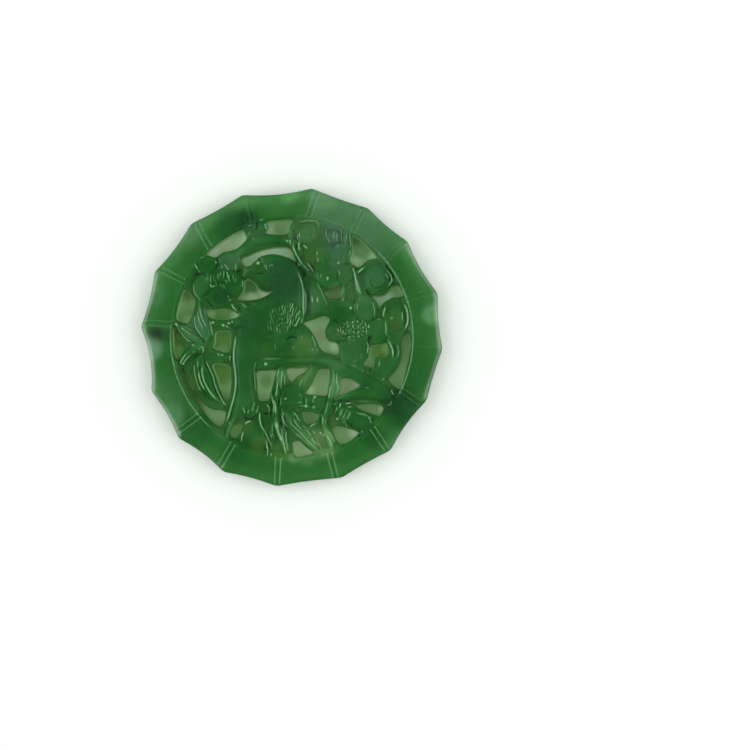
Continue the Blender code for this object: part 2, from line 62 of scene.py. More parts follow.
# Each opening, as the places its smooth edge passes through.
OPENINGS = {
    "over_first_blossom": ((-14.9, 14.5), (-13.7, 15.7), (-12.0, 16.9), (-10.2, 18.0),
                           (-8.6, 18.7), (-8.15, 18.1), (-7.85, 17.1), (-9.3, 15.6),
                           (-10.6, 15.0), (-12.0, 14.7), (-13.2, 13.9), (-14.3, 14.1)),
    "over_arched_branch": ((-4.2, 20.1), (-2.0, 20.4), (0.1, 20.5), (-0.3, 19.2),
                           (-0.8, 18.0), (-2.6, 17.8), (-4.7, 18.1), (-4.2, 19.0)),
    "over_head": ((-8.8, 13.8), (-7.3, 14.5), (-5.0, 15.4), (-2.2, 15.8), (-0.4, 15.5),
                  (0.4, 14.2), (0.7, 13.1), (-0.8, 13.8), (-3.2, 14.4), (-5.4, 14.0),
                  (-6.5, 13.1), (-7.2, 12.4), (-8.2, 12.3), (-8.7, 13.0)),
    "under_beak": ((-9.4, 6.7), (-8.0, 6.35), (-5.6, 6.7), (-3.5, 7.9), (-5.3, 8.2),
                   (-6.3, 9.3), (-7.4, 10.2), (-8.3, 9.9), (-8.5, 8.2)),
    "beside_second_blossom": ((10.3, 17.6), (11.3, 17.4), (13.0, 16.0), (14.8, 13.9),
                              (13.2, 13.4), (11.9, 12.3), (11.0, 12.3), (10.0, 13.4),
                              (10.4, 15.0)),
    "under_second_blossom": ((5.8, 8.0), (7.4, 8.4), (8.7, 9.2), (8.8, 8.0), (8.2, 6.9),
                             (7.0, 6.7), (6.1, 7.0)),
    "between_scrolls": ((12.8, 8.3), (14.0, 7.4), (16.0, 7.5), (17.2, 8.7), (18.4, 9.0),
                        (19.2, 7.2), (17.4, 6.8), (16.0, 6.0), (15.1, 4.8), (14.6, 6.2),
                        (13.4, 7.2)),
    "right_of_bird": ((2.0, 2.5), (3.5, 3.1), (5.6, 3.8), (6.5, 2.9), (5.8, 1.2),
                      (6.3, -0.4), (7.9, -1.0), (8.0, -3.0), (6.0, -2.7), (4.8, -1.9),
                      (4.2, -0.4), (3.1, 1.3)),
    "under_third_blossom": ((13.6, -1.5), (15.0, -1.2), (16.4, -1.0), (16.7, -2.6),
                            (16.2, -3.5), (14.6, -3.4), (14.2, -5.2), (12.4, -4.8),
                            (13.2, -3.3)),
    "right_margin": ((20.1, 1.0), (19.0, -0.4), (18.9, -3.4), (18.0, -5.6), (16.8, -7.1),
                     (17.2, -8.0), (18.8, -8.9), (19.6, -6.4), (20.4, -3.0), (20.6, -0.8)),
    "left_margin": ((-18.6, 8.4), (-17.2, 7.1), (-16.8, 5.8), (-17.5, 3.4), (-18.2, 2.4),
                    (-20.0, 3.1), (-19.9, 5.0), (-19.3, 7.0)),
    "under_first_blossom": ((-14.9, 4.8), (-13.4, 4.9), (-11.0, 5.0), (-9.1, 3.8),
                            (-10.8, 3.1), (-13.2, 3.1), (-14.4, 3.5)),
    "left_of_leaves": ((-20.6, 1.8), (-19.6, 1.1), (-18.6, -0.6), (-18.8, -2.2),
                       (-19.8, -3.9), (-20.5, -2.6), (-20.7, -0.6)),
    "left_of_trunk": ((-13.3, 1.0), (-12.0, 1.2), (-10.8, 1.15), (-10.6, 0.4),
                      (-10.65, -1.2), (-10.9, -2.4), (-11.6, -2.65), (-12.6, -2.3),
                      (-13.7, -1.8), (-13.5, -0.6)),
    "between_leaf_and_trunk": ((-13.8, -4.6), (-11.1, -4.8), (-10.6, -6.5), (-10.6, -9.0),
                               (-11.3, -11.2), (-12.4, -9.2), (-13.2, -6.8)),
    "lower_left_margin": ((-11.5, -13.1), (-11.9, -14.9), (-12.9, -15.4), (-14.8, -13.5),
                          (-16.8, -10.6), (-18.5, -7.8), (-19.4, -5.3), (-18.7, -5.4),
                          (-17.6, -8.0), (-16.2, -10.4), (-14.2, -12.2), (-12.2, -12.6)),
    "left_of_pod": ((-10.0, -15.1), (-8.7, -14.9), (-8.6, -15.9), (-9.6, -17.5),
                    (-10.7, -16.9)),
    "right_of_trunk": ((-6.1, -5.9), (-4.4, -5.7), (-2.8, -5.7), (-3.1, -7.4),
                       (-3.6, -9.4), (-4.0, -10.8), (-4.7, -11.0), (-5.7, -10.9),
                       (-6.0, -9.2), (-6.1, -7.4)),
    "under_bough_left": ((-0.9, -5.4), (1.0, -5.2), (2.9, -5.1), (2.2, -6.1),
                         (0.9, -6.9), (-0.1, -7.8), (-0.8, -6.9)),
    "under_bough_middle": ((4.6, -5.6), (5.6, -5.4), (6.5, -5.5), (6.5, -7.4),
                           (6.25, -9.0), (6.0, -10.1), (4.8, -10.1), (2.4, -9.75),
                           (3.4, -7.9)),
    "under_bough_right": ((8.4, -7.2), (9.8, -7.0), (11.2, -7.7), (11.8, -8.4),
                          (10.9, -9.1), (9.2, -9.8), (7.8, -10.4), (8.2, -8.8)),
    "lower_right": ((11.0, -11.7), (13.0, -11.5), (15.2, -11.6), (15.9, -12.3),
                    (15.2, -13.6), (13.6, -13.2), (12.0, -12.6)),
    "beside_culm": ((7.3, -15.4), (9.0, -15.5), (11.5, -16.4), (10.8, -17.5),
                    (9.4, -18.4), (8.2, -18.4), (7.4, -16.9)),
    "bottom_margin": ((0.1, -18.1), (1.3, -17.9), (2.4, -18.9), (3.8, -20.1),
                      (2.4, -20.6), (0.6, -20.8), (0.1, -19.7)),
    "over_small_leaf": ((1.7, -13.1), (3.2, -12.9), (4.6, -13.4), (4.2, -14.5),
                        (2.6, -15.1)),
}

side = np.arange(-PLATE_RADIUS - 2 * GRID_STEP, PLATE_RADIUS + 2.5 * GRID_STEP, GRID_STEP)
X, Y = np.meshgrid(side, side, indexing="ij")
REACH = np.hypot(X, Y)


def smooth_line(places, closed=False):
    """A Catmull-Rom curve: each span is the cubic that leaves and reaches its two
    places along the chord between their neighbours.  Any number of columns."""
    places = np.array(places, dtype=float)
    if closed:
        rows = [np.roll(places, shift, axis=0) for shift in (1, 0, -1, -2)]
    else:
        padded = np.vstack([places[:1], places, places[-1:]])
        rows = [padded[:-3], padded[1:-2], padded[2:-1], padded[3:]]
    a, b, c, d = (row[:, None, :] for row in rows)
    t = (np.arange(SPAN_POINTS) / SPAN_POINTS)[None, :, None]
    curve = 0.5 * (2 * b + (c - a) * t + (2 * a - 5 * b + 4 * c - d) * t ** 2
                   + (3 * b - a - 3 * c + d) * t ** 3)
    curve = curve.reshape(-1, places.shape[1])
    return curve if closed else np.vstack([curve, places[-1:]])


def window(line, margin):
    """The rectangle of the grid that holds a line and a margin round it."""
    low = np.floor((line[:, :2].min(axis=0) - margin - side[0]) / GRID_STEP).astype(int)
    high = np.ceil((line[:, :2].max(axis=0) + margin - side[0]) / GRID_STEP).astype(int) + 1
    low, high = np.clip(low, 0, len(side)), np.clip(high, 0, len(side))
    return slice(low[0], high[0]), slice(low[1], high[1])


def beside(line, area):
    """Distance of each grid point in a window from a line, square to the nearest of
    its steps, and how far along the line that is, from 0 to 1."""
    x, y = X[area], Y[area]
    near, share = np.full(x.shape, np.inf), np.zeros(x.shape)
    steps = np.hypot(*np.diff(line[:, :2], axis=0).T)
    run = np.concatenate([[0.0], np.cumsum(steps)])
    for k, ((ax, ay), (bx, by)) in enumerate(zip(line[:-1, :2], line[1:, :2])):
        dx, dy = bx - ax, by - ay
        t = np.clip(((x - ax) * dx + (y - ay) * dy) / max(steps[k] ** 2, TINY), 0, 1)
        gap = np.hypot(x - ax - t * dx, y - ay - t * dy)
        closer = gap < near
        near = np.where(closer, gap, near)
        share = np.where(closer, (run[k] + t * steps[k]) / run[-1], share)
    return near, share


def within(loop, x, y):
    """Even-odd rule: a place is inside where a ray to its right crosses the loop
    an odd number of times."""
    odd = np.zeros(x.shape, dtype=bool)
    for (ax, ay), (bx, by) in zip(loop, np.roll(loop, -1, axis=0)):
        if ay != by:
            odd ^= ((ay > y) != (by > y)) & (x < ax + (y - ay) * (bx - ax) / (by - ay))
    return odd


def from_edge(loop, area):
    """Distance of each grid point in a window from a closed line."""
    return beside(np.vstack([loop, loop[:1]]), area)[0]


stone = np.full(X.shape, EDGE_REACH)      # distance into the stone, below 0 in an opening
for places in OPENINGS.values():
    edge = smooth_line(places, closed=True)
    area = window(edge, EDGE_REACH)
    gap = from_edge(edge, area)
    stone[area] = np.minimum(stone[area], np.where(within(edge, X[area], Y[area]), -gap, gap))


# ======================================================================== rim
# The rim is a round bamboo stem bent to a ring: sixteen lengths, waisted
# between joints, with two fine raised threads across it beside every joint.
RIM_INNER_RADIUS = 20.9
RIM_MIDDLE = 2.5          # height of the stem's outermost line above the back
RIM_RISE = 2.50           # from there to the stem's crest, at a joint
RIM_WAIST_DIP = 0.16      # share of that rise lost half way along a stem
RIM_INNER_EDGE = 4.35     # height of the stem's flat inner flank where it meets the ledge
RIM_FULLNESS = 2.2        # of the superellipse outside its crest; 2 would be an ellipse
STEM_POINTS = 40          # points on the outline of one stem
OUTLINE_POINTS = 10       # points to a degree on the outline of the whole rim
JOINT_SOFTNESS = 0.9      # degrees over which a joint's corner is rounded
SOFTENED_REACH = 3        # degrees on both sides that count towards that
THREAD_OFFSET = 0.44      # each thread lies this far from the middle of the pair
THREAD_WIDTH = 0.30
THREAD_RISE = 0.09
THREAD_LOOK = 0.62        # how pale its top is painted, as a highlight, 1 being a sharp edge
HOLLOW_WIDTH = 0.6        # of the hollow between the two, as a share of their offset
HOLLOW_DEPTH = 0.45       # and as a share of their rise
LEAN_RADIUS = 23.5        # where a leaning pair lies true
LEAN_REACH = 2.5          # and how much further out it has gone over by its whole lean
# Where each joint's pair of threads lies, in degrees from the joint, how far the
# pair leans over the stem's width, and how deeply it is cut.
THREADS = ((-2.2, 0.6, 0.35), (-1.9, -0.3, 0.8), (-2.0, 0.0, 0.9), (0.1, 0.3, 1.0),
           (-1.8, -0.4, 1.0), (-0.2, -0.8, 1.0), (-1.4, -0.8, 0.6), (1.4, 0.0, 0.3),
           (1.6, 0.0, 0.4), (0.2, 0.6, 0.5), (1.0, 0.4, 0.5), (-1.5, -1.2, 0.8),
           (-1.4, -0.6, 0.5), (-0.6, -1.4, 0.9), (-2.0, 0.0, 0.8), (-2.0, 0.2, 0.6))

joint_turns = np.array([degrees for degrees, _, _ in JOINTS]) - JOINTS[0][0]
joint_turns = np.append(joint_turns, 360.0)


def waisting(share):
    """How far into its waist a stem is: 0 at its joints and 1 half way, a parabola."""
    return 4 * share * (1 - share)


def round_the_ring(degrees):
    """A direction's place, counted in joints from the first."""
    return np.interp((degrees - JOINTS[0][0]) % 360, joint_turns, range(len(joint_turns)))


def rim_outline():
    """Outer radius of the rim in even steps of direction: the straight line from
    joint to joint, less the bow, softened by a running bell curve."""
    places = np.array([(reach * math.cos(math.radians(d)), reach * math.sin(math.radians(d)))
                       for d, reach, _ in JOINTS])
    share = np.linspace(0, 1, STEM_POINTS, endpoint=False)[None, :, None]
    line = places[:, None] + (np.roll(places, -1, axis=0) - places)[:, None] * share
    line = line.reshape(-1, 2)
    bow = np.array([bow for _, _, bow in JOINTS])[:, None] * waisting(share)[0, :, 0]
    turn = np.degrees(np.arctan2(line[:, 1], line[:, 0]))
    even = np.arange(0, 360, 1 / OUTLINE_POINTS)
    radius = np.interp(even, turn % 360, np.hypot(*line.T) - bow.ravel(), period=360)
    off = np.arange(-SOFTENED_REACH * OUTLINE_POINTS, SOFTENED_REACH * OUTLINE_POINTS + 1)
    bell = np.exp(-0.5 * (off / (OUTLINE_POINTS * JOINT_SOFTNESS)) ** 2)
    radius = np.convolve(np.tile(radius, 3), bell / bell.sum(), mode="same")
    return even, radius[len(even):2 * len(even)]


outline_turn, outline_radius = rim_outline()


def rim_section(degrees):
    """Middle radius, half width and rise of the stem at a direction."""
    outer = np.interp(degrees % 360, outline_turn, outline_radius, period=360)
    rise = RIM_RISE * (1 - RIM_WAIST_DIP * waisting(round_the_ring(degrees) % 1))
    return (outer + RIM_INNER_RADIUS) / 2, (outer - RIM_INNER_RADIUS) / 2, rise


def threads(degrees, radius):
    """The two raised threads beside each joint: a bell across each, with a shallower hollow between
    them. Returns their height and how raised they look, which is painted as highlight on the
    threads and shade in the hollow."""
    nearest = np.round(round_the_ring(degrees)).astype(int) % len(JOINTS)
    aside, lean, strength = np.moveaxis(np.array(THREADS)[nearest], -1, 0)
    joint = np.array([d for d, _, _ in JOINTS])[nearest]
    middle = joint + aside + lean * (radius - LEAN_RADIUS) / LEAN_REACH
    arc = np.radians((degrees - middle + 180) % 360 - 180) * radius
    raised = np.exp(-((np.abs(arc) - THREAD_OFFSET) / (THREAD_WIDTH / 2)) ** 2)
    sunk = np.exp(-(arc / (THREAD_OFFSET * HOLLOW_WIDTH)) ** 2)
    look = strength * (raised - HOLLOW_DEPTH * sunk)
    return THREAD_RISE * look, THREAD_LOOK * look


def rim_height(x, y):
    """Height of the stem inside its crest: a parabola down to its inner edge."""
    degrees, radius = np.degrees(np.arctan2(y, x)), np.hypot(x, y)
    middle, half, rise = rim_section(degrees)
    crest, across = RIM_MIDDLE + rise, np.clip((middle - radius) / half, 0, 1)
    return crest - (crest - RIM_INNER_EDGE) * across ** 2 + threads(degrees, radius)[0]


# ===================================================================== ground
# Between the carved forms the stone is cut down to a sunk ground, some two
# thirds of the thickness of the slice.  It steps up to a ledge round the inside
# of the rim, and a fine raised line parts the ledge from the stem.
GROUND = 3.4
LEDGE = 4.1
LEDGE_RADIUS = 20.3
LEDGE_SLOPE = 0.9         # width of the slope up to the ledge
LINE_RADIUS = 20.95
LINE_WIDTH = 0.26
LINE_RISE = 0.18
LINE_ARCS = ((-30, 48), (174, 230))       # degrees over which that line stands clear
LINE_END = 4              # degrees over which it fades at both ends of an arc
LINE_FAINT, LINE_CLEAR = 0.08, 0.7        # its strength all round, and what an arc adds

relief = GROUND + (LEDGE - GROUND) * np.clip((REACH - LEDGE_RADIUS) / LEDGE_SLOPE + 0.5, 0, 1)
on_stem = REACH > RIM_INNER_RADIUS
relief[on_stem] = np.maximum(relief, rim_height(X, Y))[on_stem]
heading = np.degrees(np.arctan2(Y, X))
clear_arcs = np.zeros(X.shape)
for low, high in LINE_ARCS:
    off_middle = np.abs((heading - (low + high) / 2 + 180) % 360 - 180)
    clear_arcs += np.clip((high - low) / 2 - off_middle, 0, LINE_END) / LINE_END
fine_line = np.exp(-((REACH - LINE_RADIUS) / (LINE_WIDTH / 2)) ** 2)
fine_line *= LINE_FAINT + LINE_CLEAR * clear_arcs
ridge = np.zeros(X.shape)    # how raised a place looks, painted as highlight up to 1 on a raised line and as shade down to -1 in an engraved one


# ===================================================================== boughs
# A thick trunk stands at the left, with a bright ridge along its left side.
# From it a broad bough runs to the lower right, and a thin branch arches over
# the bird's head.  All are left standing as the ground round them is cut down.
SOFTENING = 0.22          # how gently two forms run together
FORM_FOOT = 0.5           # carved forms start this far above the back
FORM_FLANK = 6.0          # slope of the drop past a form's edge
FORM_MARGIN = 0.4         # how far past its edge a form is worked out
HOLLOW_REACH = 0.8        # share of its radius over which a petal is hollowed
FULL_LOOK = 0.32          # a line this high or deep is painted as pale or as dark as any
LOOK_NARROWING = 1.6      # its painted paleness is this much closer to its crest than its height
CUT_END = 0.3             # share of its height that a line keeps at its ends
CREST_TRUNK = 4.6
CREST_BOUGH = 4.3
CREST_TWIG = 3.5


def stand_up(area, form):
    """Puts a form in the surface.  The higher of the two holds, with the crease
    between them softened: half of old + form + root((old - form)^2 + softening^2)."""
    before = relief[area]
    relief[area] = 0.5 * (before + form + np.sqrt((before - form) ** 2 + SOFTENING ** 2))


def domed(u, crest, fullness):
    """Height over a form whose edge is at u = 1: foot + (crest - foot) (1 - u^n)^(1/n)."""
    return FORM_FOOT + (crest - FORM_FOOT) * (1 - np.clip(u, 0, 1) ** fullness) ** (1 / fullness)


def swell(line, widths, crest, fullness=2.4, keel=0.0):
    """Raises a rounded bar along a line, domed over half its local width, less a
    share of u where it has a keel.  Past its edge it falls away."""
    area = window(line, np.max(widths) / 2 + FORM_MARGIN)
    near, share = beside(line, area)
    half = np.interp(share, np.linspace(0, 1, len(widths)), widths) / 2
    u, drop = near / half, keel * (crest - FORM_FOOT)
    stand_up(area, np.where(u < 1, domed(u, crest, fullness) - drop * u,
                            FORM_FOOT - drop - FORM_FLANK * (near - half)))


def limb(places, widths, crest, fullness=2.4):
    """A branch or stem along a smooth path, with a width at each of its places."""
    path = smooth_line([(x, y, width) for (x, y), width in zip(places, widths)])
    swell(path, path[:, 2], crest, fullness)


def slab(outline, crest, shoulder=1.2, fullness=2.4):
    """Raises a broad mass inside a smooth closed outline: flat on top and domed
    over its shoulder, the outermost millimetre or so."""
    edge = smooth_line(outline, closed=True)
    area = window(edge, FORM_MARGIN)
    near = from_edge(edge, area)
    stand_up(area, np.where(within(edge, X[area], Y[area]),
                            domed(1 - near / shoulder, crest, fullness),
                            FORM_FOOT - FORM_FLANK * near))


def boss(centre, radii, crest, turn=0.0, fullness=2.2, hollow=0.0):
    """Raises an oval dome, u being the oval's radius.  A petal is hollowed: its
    middle is sunk by hollow (1 - (u/reach)^2), which leaves a raised lip."""
    area = window(np.array([centre]), max(radii) + FORM_MARGIN)
    c, s = math.cos(math.radians(turn)), math.sin(math.radians(turn))
    x, y = X[area] - centre[0], Y[area] - centre[1]
    u = np.hypot((x * c + y * s) / radii[0], (y * c - x * s) / radii[1])
    dome = domed(u, crest, fullness) - hollow * np.clip(1 - (u / HOLLOW_REACH) ** 2, 0, 1)
    stand_up(area, dome - FORM_FLANK * min(radii) * np.maximum(u - 1, 0))


def mark(area, shape, rise):
    """Adds a small shape to the surface and notes it in the ridge array, as painted highlight where
    it rises and painted shade where it sinks, the more strongly the more it rises or sinks."""
    relief[area] += rise * shape
    look = np.clip(rise / FULL_LOOK, -1, 1) * shape ** LOOK_NARROWING
    ridge[area] = np.clip(ridge[area] + look, -1, 1)


def cut(width, rise, *paths, taper=0.2):
    """Adds fine lines to the surface: raised if rise is above zero, engraved if
    below.  Across each the height is rise (1 - u^2)^1.5, and it fades over a share
    of the line, taper, at both ends."""
    for path in paths:
        line = smooth_line(path) if len(path) > 2 else np.array(path, dtype=float)
        area = window(line, width)
        near, share = beside(line, area)
        across = np.clip(1 - (near / (width / 2)) ** 2, 0, 1) ** 1.5
        mark(area, across * np.clip(np.minimum(share, 1 - share) / taper, CUT_END, 1), rise)


def bead(radius, rise, *centres):
    """Adds round beads, or drills pits if rise is below zero: rise root(1 - u^2)."""
    for centre in centres:
        area = window(np.array([centre]), radius)
        u = np.hypot(X[area] - centre[0], Y[area] - centre[1]) / radius
        mark(area, np.sqrt(np.clip(1 - u ** 2, 0, 1)), rise)


# The arched branch, the trunk, the bough with its lower fork, a spur that hangs from
# it, and two twigs.
limb(((-9.5, 14.2), (-7.0, 16.3), (-4.5, 16.9), (-1.8, 16.9), (0.4, 16.4)),
    (1.8, 2.4, 2.2, 2.1, 1.6), 3.9, 3.0)
slab(((-9.2, 5.0), (-9.8, 3.4), (-9.9, 1.0), (-10.3, -2.0), (-10.4, -4.2), (-10.1, -7.0),
     (-10.0, -9.0), (-10.4, -11.2), (-11.0, -13.4), (-11.8, -15.6), (-12.4, -17.6), (-10.6, -18.2),
     (-9.9, -16.4), (-9.2, -14.6), (-7.6, -14.2), (-6.0, -13.4), (-5.6, -11.2), (-6.1, -9.0),
     (-6.3, -7.0), (-6.0, -5.4), (-5.2, -3.6), (-4.6, 0.0), (-5.0, 4.0)), CREST_TRUNK, 1.9, 2.4)
slab(((-6.4, -2.8), (-3.0, -2.9), (1.0, -2.8), (5.0, -2.7), (8.5, -3.7), (10.5, -4.7), (12.5, -5.7),
     (14.5, -6.7), (16.4, -8.1), (17.9, -9.6), (19.4, -11.6), (17.6, -13.4), (15.8, -11.6),
     (13.0, -10.9), (10.9, -10.9), (8.6, -11.2), (7.0, -11.0), (6.8, -8.5), (6.2, -5.6),
     (3.2, -5.0), (-1.0, -5.2), (-6.4, -5.9)), CREST_BOUGH, 1.5, 2.6)
slab(((8.6, -11.2), (10.8, -12.2), (13.2, -13.4), (15.6, -14.2), (17.6, -13.0), (19.6, -14.6),
     (17.0, -17.4), (14.0, -16.0), (12.0, -16.6), (9.8, -15.6), (8.2, -15.0), (7.4, -13.0)),
    3.8, 1.6, 2.6)
limb(((3.6, -4.8), (1.2, -9.4)), (2.2, 2.0), 3.6)
slab(((-2.2, -8.4), (-0.8, -7.9), (1.0, -8.2), (2.2, -9.6), (4.0, -10.0), (6.4, -10.0),
     (6.6, -12.6), (4.6, -13.0), (2.0, -12.8), (0.4, -12.2), (-1.6, -12.6), (-2.6, -11.0)),
    3.7, 1.1, 2.2)
limb(((-15.2, 2.4), (-8.8, 2.2)), (1.6, 1.7), CREST_TWIG)
limb(((-15.0, -3.3), (-9.8, -3.6)), (1.8, 2.0), CREST_TWIG)

# Ridges down both sides of the trunk and along the bough's upper edge.  Each call
# gives a width and a rise, then the places that each line passes through.
cut(0.62, 0.42, ((-9.6, 1.2), (-9.8, -0.6), (-10.05, -2.4), (-10.05, -4.2), (-9.8, -6.2),
     (-9.72, -8.2), (-10.0, -10.2), (-10.5, -12.0), (-10.95, -13.6), (-11.5, -15.3)), taper=0.1)
cut(0.45, 0.22, ((-5.7, -3.4), (-6.3, -4.5), (-6.5, -6.0), (-6.4, -8.2), (-6.2, -10.2)),
    ((-10.75, -3.0), (-10.7, -4.1)), ((-11.0, -14.4), (-10.7, -15.1)))
cut(0.9, 0.14, ((-5.3, -3.6), (-3.6, -3.6), (-2.0, -3.4), (-0.8, -3.2)))
cut(0.4, 0.14, ((8.6, -4.0), (10.3, -4.8), (12.5, -5.8), (14.2, -6.8), (15.4, -7.4), (16.4, -8.4),
     (17.2, -9.2)))
cut(0.5, 0.4, ((17.1, -9.0), (17.4, -9.5), (17.7, -10.0)))
# Short scars across the bark, notches, small knobs and pits.
cut(0.35, 0.16, ((10.4, -4.1), (11.4, -4.1)), ((10.3, -4.8), (11.4, -4.9)),
    ((7.2, -5.6), (7.0, -6.4)), ((7.8, -6.0), (7.6, -7.2)), ((0.6, -5.0), (2.8, -5.0)),
    ((12.6, -8.7), (13.4, -8.7)), ((11.2, -11.1), (13.8, -11.1)),
    ((17.3, -10.8), (17.2, -11.4), (16.6, -11.9)))
cut(0.5, -0.3, ((10.9, -4.5), (11.9, -4.4)), ((12.3, -4.6), (12.3, -5.4)),
    ((-11.7, -4.0), (-11.7, -4.5)), ((-11.2, -4.0), (-11.2, -4.5)))
cut(0.3, 0.2, ((3.9, -10.2), (3.5, -11.4)), ((2.5, -10.4), (2.4, -11.6)),
    ((0.9, -11.3), (1.9, -11.2)), ((1.2, -11.8), (2.2, -11.9)), ((1.8, -7.0), (1.2, -8.6)))
cut(0.35, -0.25, ((2.1, -10.4), (2.1, -11.6)), ((3.0, -11.6), (3.6, -11.6)),
    ((-1.4, -10.0), (-1.1, -10.3)))
bead(0.34, 0.3, (-4.5, -4.6), (4.0, -10.3), (2.45, -11.9))
bead(0.28, 0.2, (3.8, -12.1), (15.85, -7.25))
bead(0.3, 0.2, (-1.1, -10.6), (0.3, -1.75), (3.6, -2.1), (4.4, -2.1), (-12.7, -2.9), (-12.1, -3.0))
bead(0.3, 0.3, (-13.7, 2.6), (-11.9, 2.1), (-10.3, 2.7), (-10.9, 2.5))
cut(0.45, 0.3, ((-11.5, 2.1), (-11.0, 1.75)))
bead(0.34, -0.4, (18.2, -9.25), (14.2, -17.6), (16.05, -12.3))

# The knot at the trunk's foot, with short gouged strokes, and the one beside it.
boss((-7.1, -12.7), (1.9, 1.7), 4.4, fullness=2.6)
cut(0.5, -0.34, ((-8.6, -13.0), (-8.1, -13.9), (-7.0, -14.1), (-6.4, -13.5)))
cut(0.28, 0.22, ((-8.5, -11.9), (-8.0, -13.3)), ((-6.4, -11.0), (-6.9, -13.0)),
    ((-5.7, -11.5), (-6.2, -13.2)), ((-7.4, -12.4), (-7.6, -13.3)))
cut(0.4, 0.3, ((-4.6, -11.6), (-4.2, -11.8), (-3.9, -12.4), (-3.9, -13.2)))
bead(0.28, -0.4, (-3.55, -11.7), (-4.55, -13.2), (-3.6, -13.0), (-3.25, -9.6))


# ======================================================================= bird
# The bird faces right and looks back over its shoulder.  Head, back and body
# are one broad polished mass; its wing is a low oval of short cut feathers.
CREST_BIRD = 4.75

# Body and head in one mass, the dome of the head, the wing, and the flank in two steps.
slab(((-8.9, 11.2), (-8.7, 12.3), (-7.6, 12.9), (-6.5, 13.6), (-5.4, 14.5), (-3.2, 14.8),
     (-1.0, 14.3), (0.8, 13.1), (1.8, 11.3), (2.4, 9.2), (2.8, 6.6), (2.7, 4.2), (2.2, 2.2),
     (1.0, 1.3), (-0.8, 1.1), (-2.2, 0.2), (-4.2, -0.2), (-6.0, 0.4), (-8.2, 0.8), (-10.3, 1.6),
     (-10.4, 3.2), (-9.3, 4.6), (-9.2, 6.4), (-6.6, 6.5), (-5.0, 7.2), (-4.3, 7.8), (-5.2, 8.3),
     (-6.2, 9.2), (-7.3, 10.3), (-8.5, 10.4)), CREST_BIRD, 1.5, 2.4)
boss((-3.3, 11.4), (3.0, 2.9), 4.95, fullness=2.6)
boss((-1.6, 3.3), (3.4, 2.6), 4.8, 22, 2.8)
slab(((-6.6, 2.6), (-1.6, 2.6), (2.4, 2.6), (3.1, 1.2), (3.9, 0.0), (4.7, -1.4), (5.0, -3.6),
     (-2.5, -3.9), (-6.4, -3.9), (-7.4, -1.4)), 4.1, 1.0, 2.4)
slab(((-6.6, 2.6), (-1.6, 2.6), (2.2, 2.6), (2.6, 1.0), (1.4, -0.2), (-0.8, -0.6), (-2.6, -1.3),
     (-5.0, -1.3), (-7.4, -1.4)), 4.5, 1.8, 2.2)

# Its back is edged by two close raised lines.
cut(0.34, 0.3,
    ((1.0, 11.6), (1.4, 10.5), (1.75, 9.4), (2.0, 8.0), (2.0, 6.2), (2.0, 4.6), (2.05, 3.4)),
    taper=0.1)
cut(0.3, 0.34, ((2.1, 8.7), (2.38, 7.4), (2.44, 5.8), (2.34, 4.6), (2.1, 3.6)))
cut(0.3, 0.24, ((1.9, 3.4), (1.6, 2.3)))
cut(0.4, -0.2, ((1.5, 9.0), (1.6, 7.0), (1.6, 5.0), (1.7, 3.6)), ((2.75, 8.2), (2.8, 6.0)))
# Head: a small round eye, a few short strokes behind it, the closed beak.
bead(0.34, 0.3, (-5.85, 12.85))
cut(0.3, 0.2, ((-4.75, 12.7), (-4.65, 12.0)), ((-4.4, 12.8), (-4.35, 11.6)),
    ((-3.7, 12.7), (-3.8, 12.1)), ((-3.4, 12.8), (-3.4, 12.1)), ((-5.3, 13.6), (-4.9, 13.5)),
    ((-5.2, 13.1), (-4.9, 13.0)))
cut(0.6, -0.22, ((-6.9, 11.2), (-5.6, 11.0), (-4.6, 11.1)))
cut(0.4, 0.1, ((-6.4, 9.9), (-5.9, 9.2), (-5.3, 8.6)))
cut(0.35, 0.2, ((-8.5, 11.0), (-8.2, 10.5)))
# Tail and flank.
cut(0.5, 0.12, ((-8.6, 5.9), (-7.6, 5.0)), ((-7.2, 6.1), (-6.2, 5.6)))
cut(0.5, 0.4, ((-10.5, 5.9), (-10.0, 5.1), (-9.4, 4.5)))
cut(0.35, 0.14, ((-9.7, 5.4), (-9.0, 4.5)), ((-2.85, -0.9), (-2.85, -2.4)))
cut(0.34, 0.36, ((3.3, 0.6), (3.7, -0.2), (4.0, -0.9), (4.3, -1.7)))
cut(0.35, 0.2, ((1.7, 0.2), (1.8, -0.1)))
cut(0.5, -0.35, ((-0.9, -0.7), (-0.6, -0.1), (0.2, 0.1), (0.7, -0.1), (0.6, -0.6)))

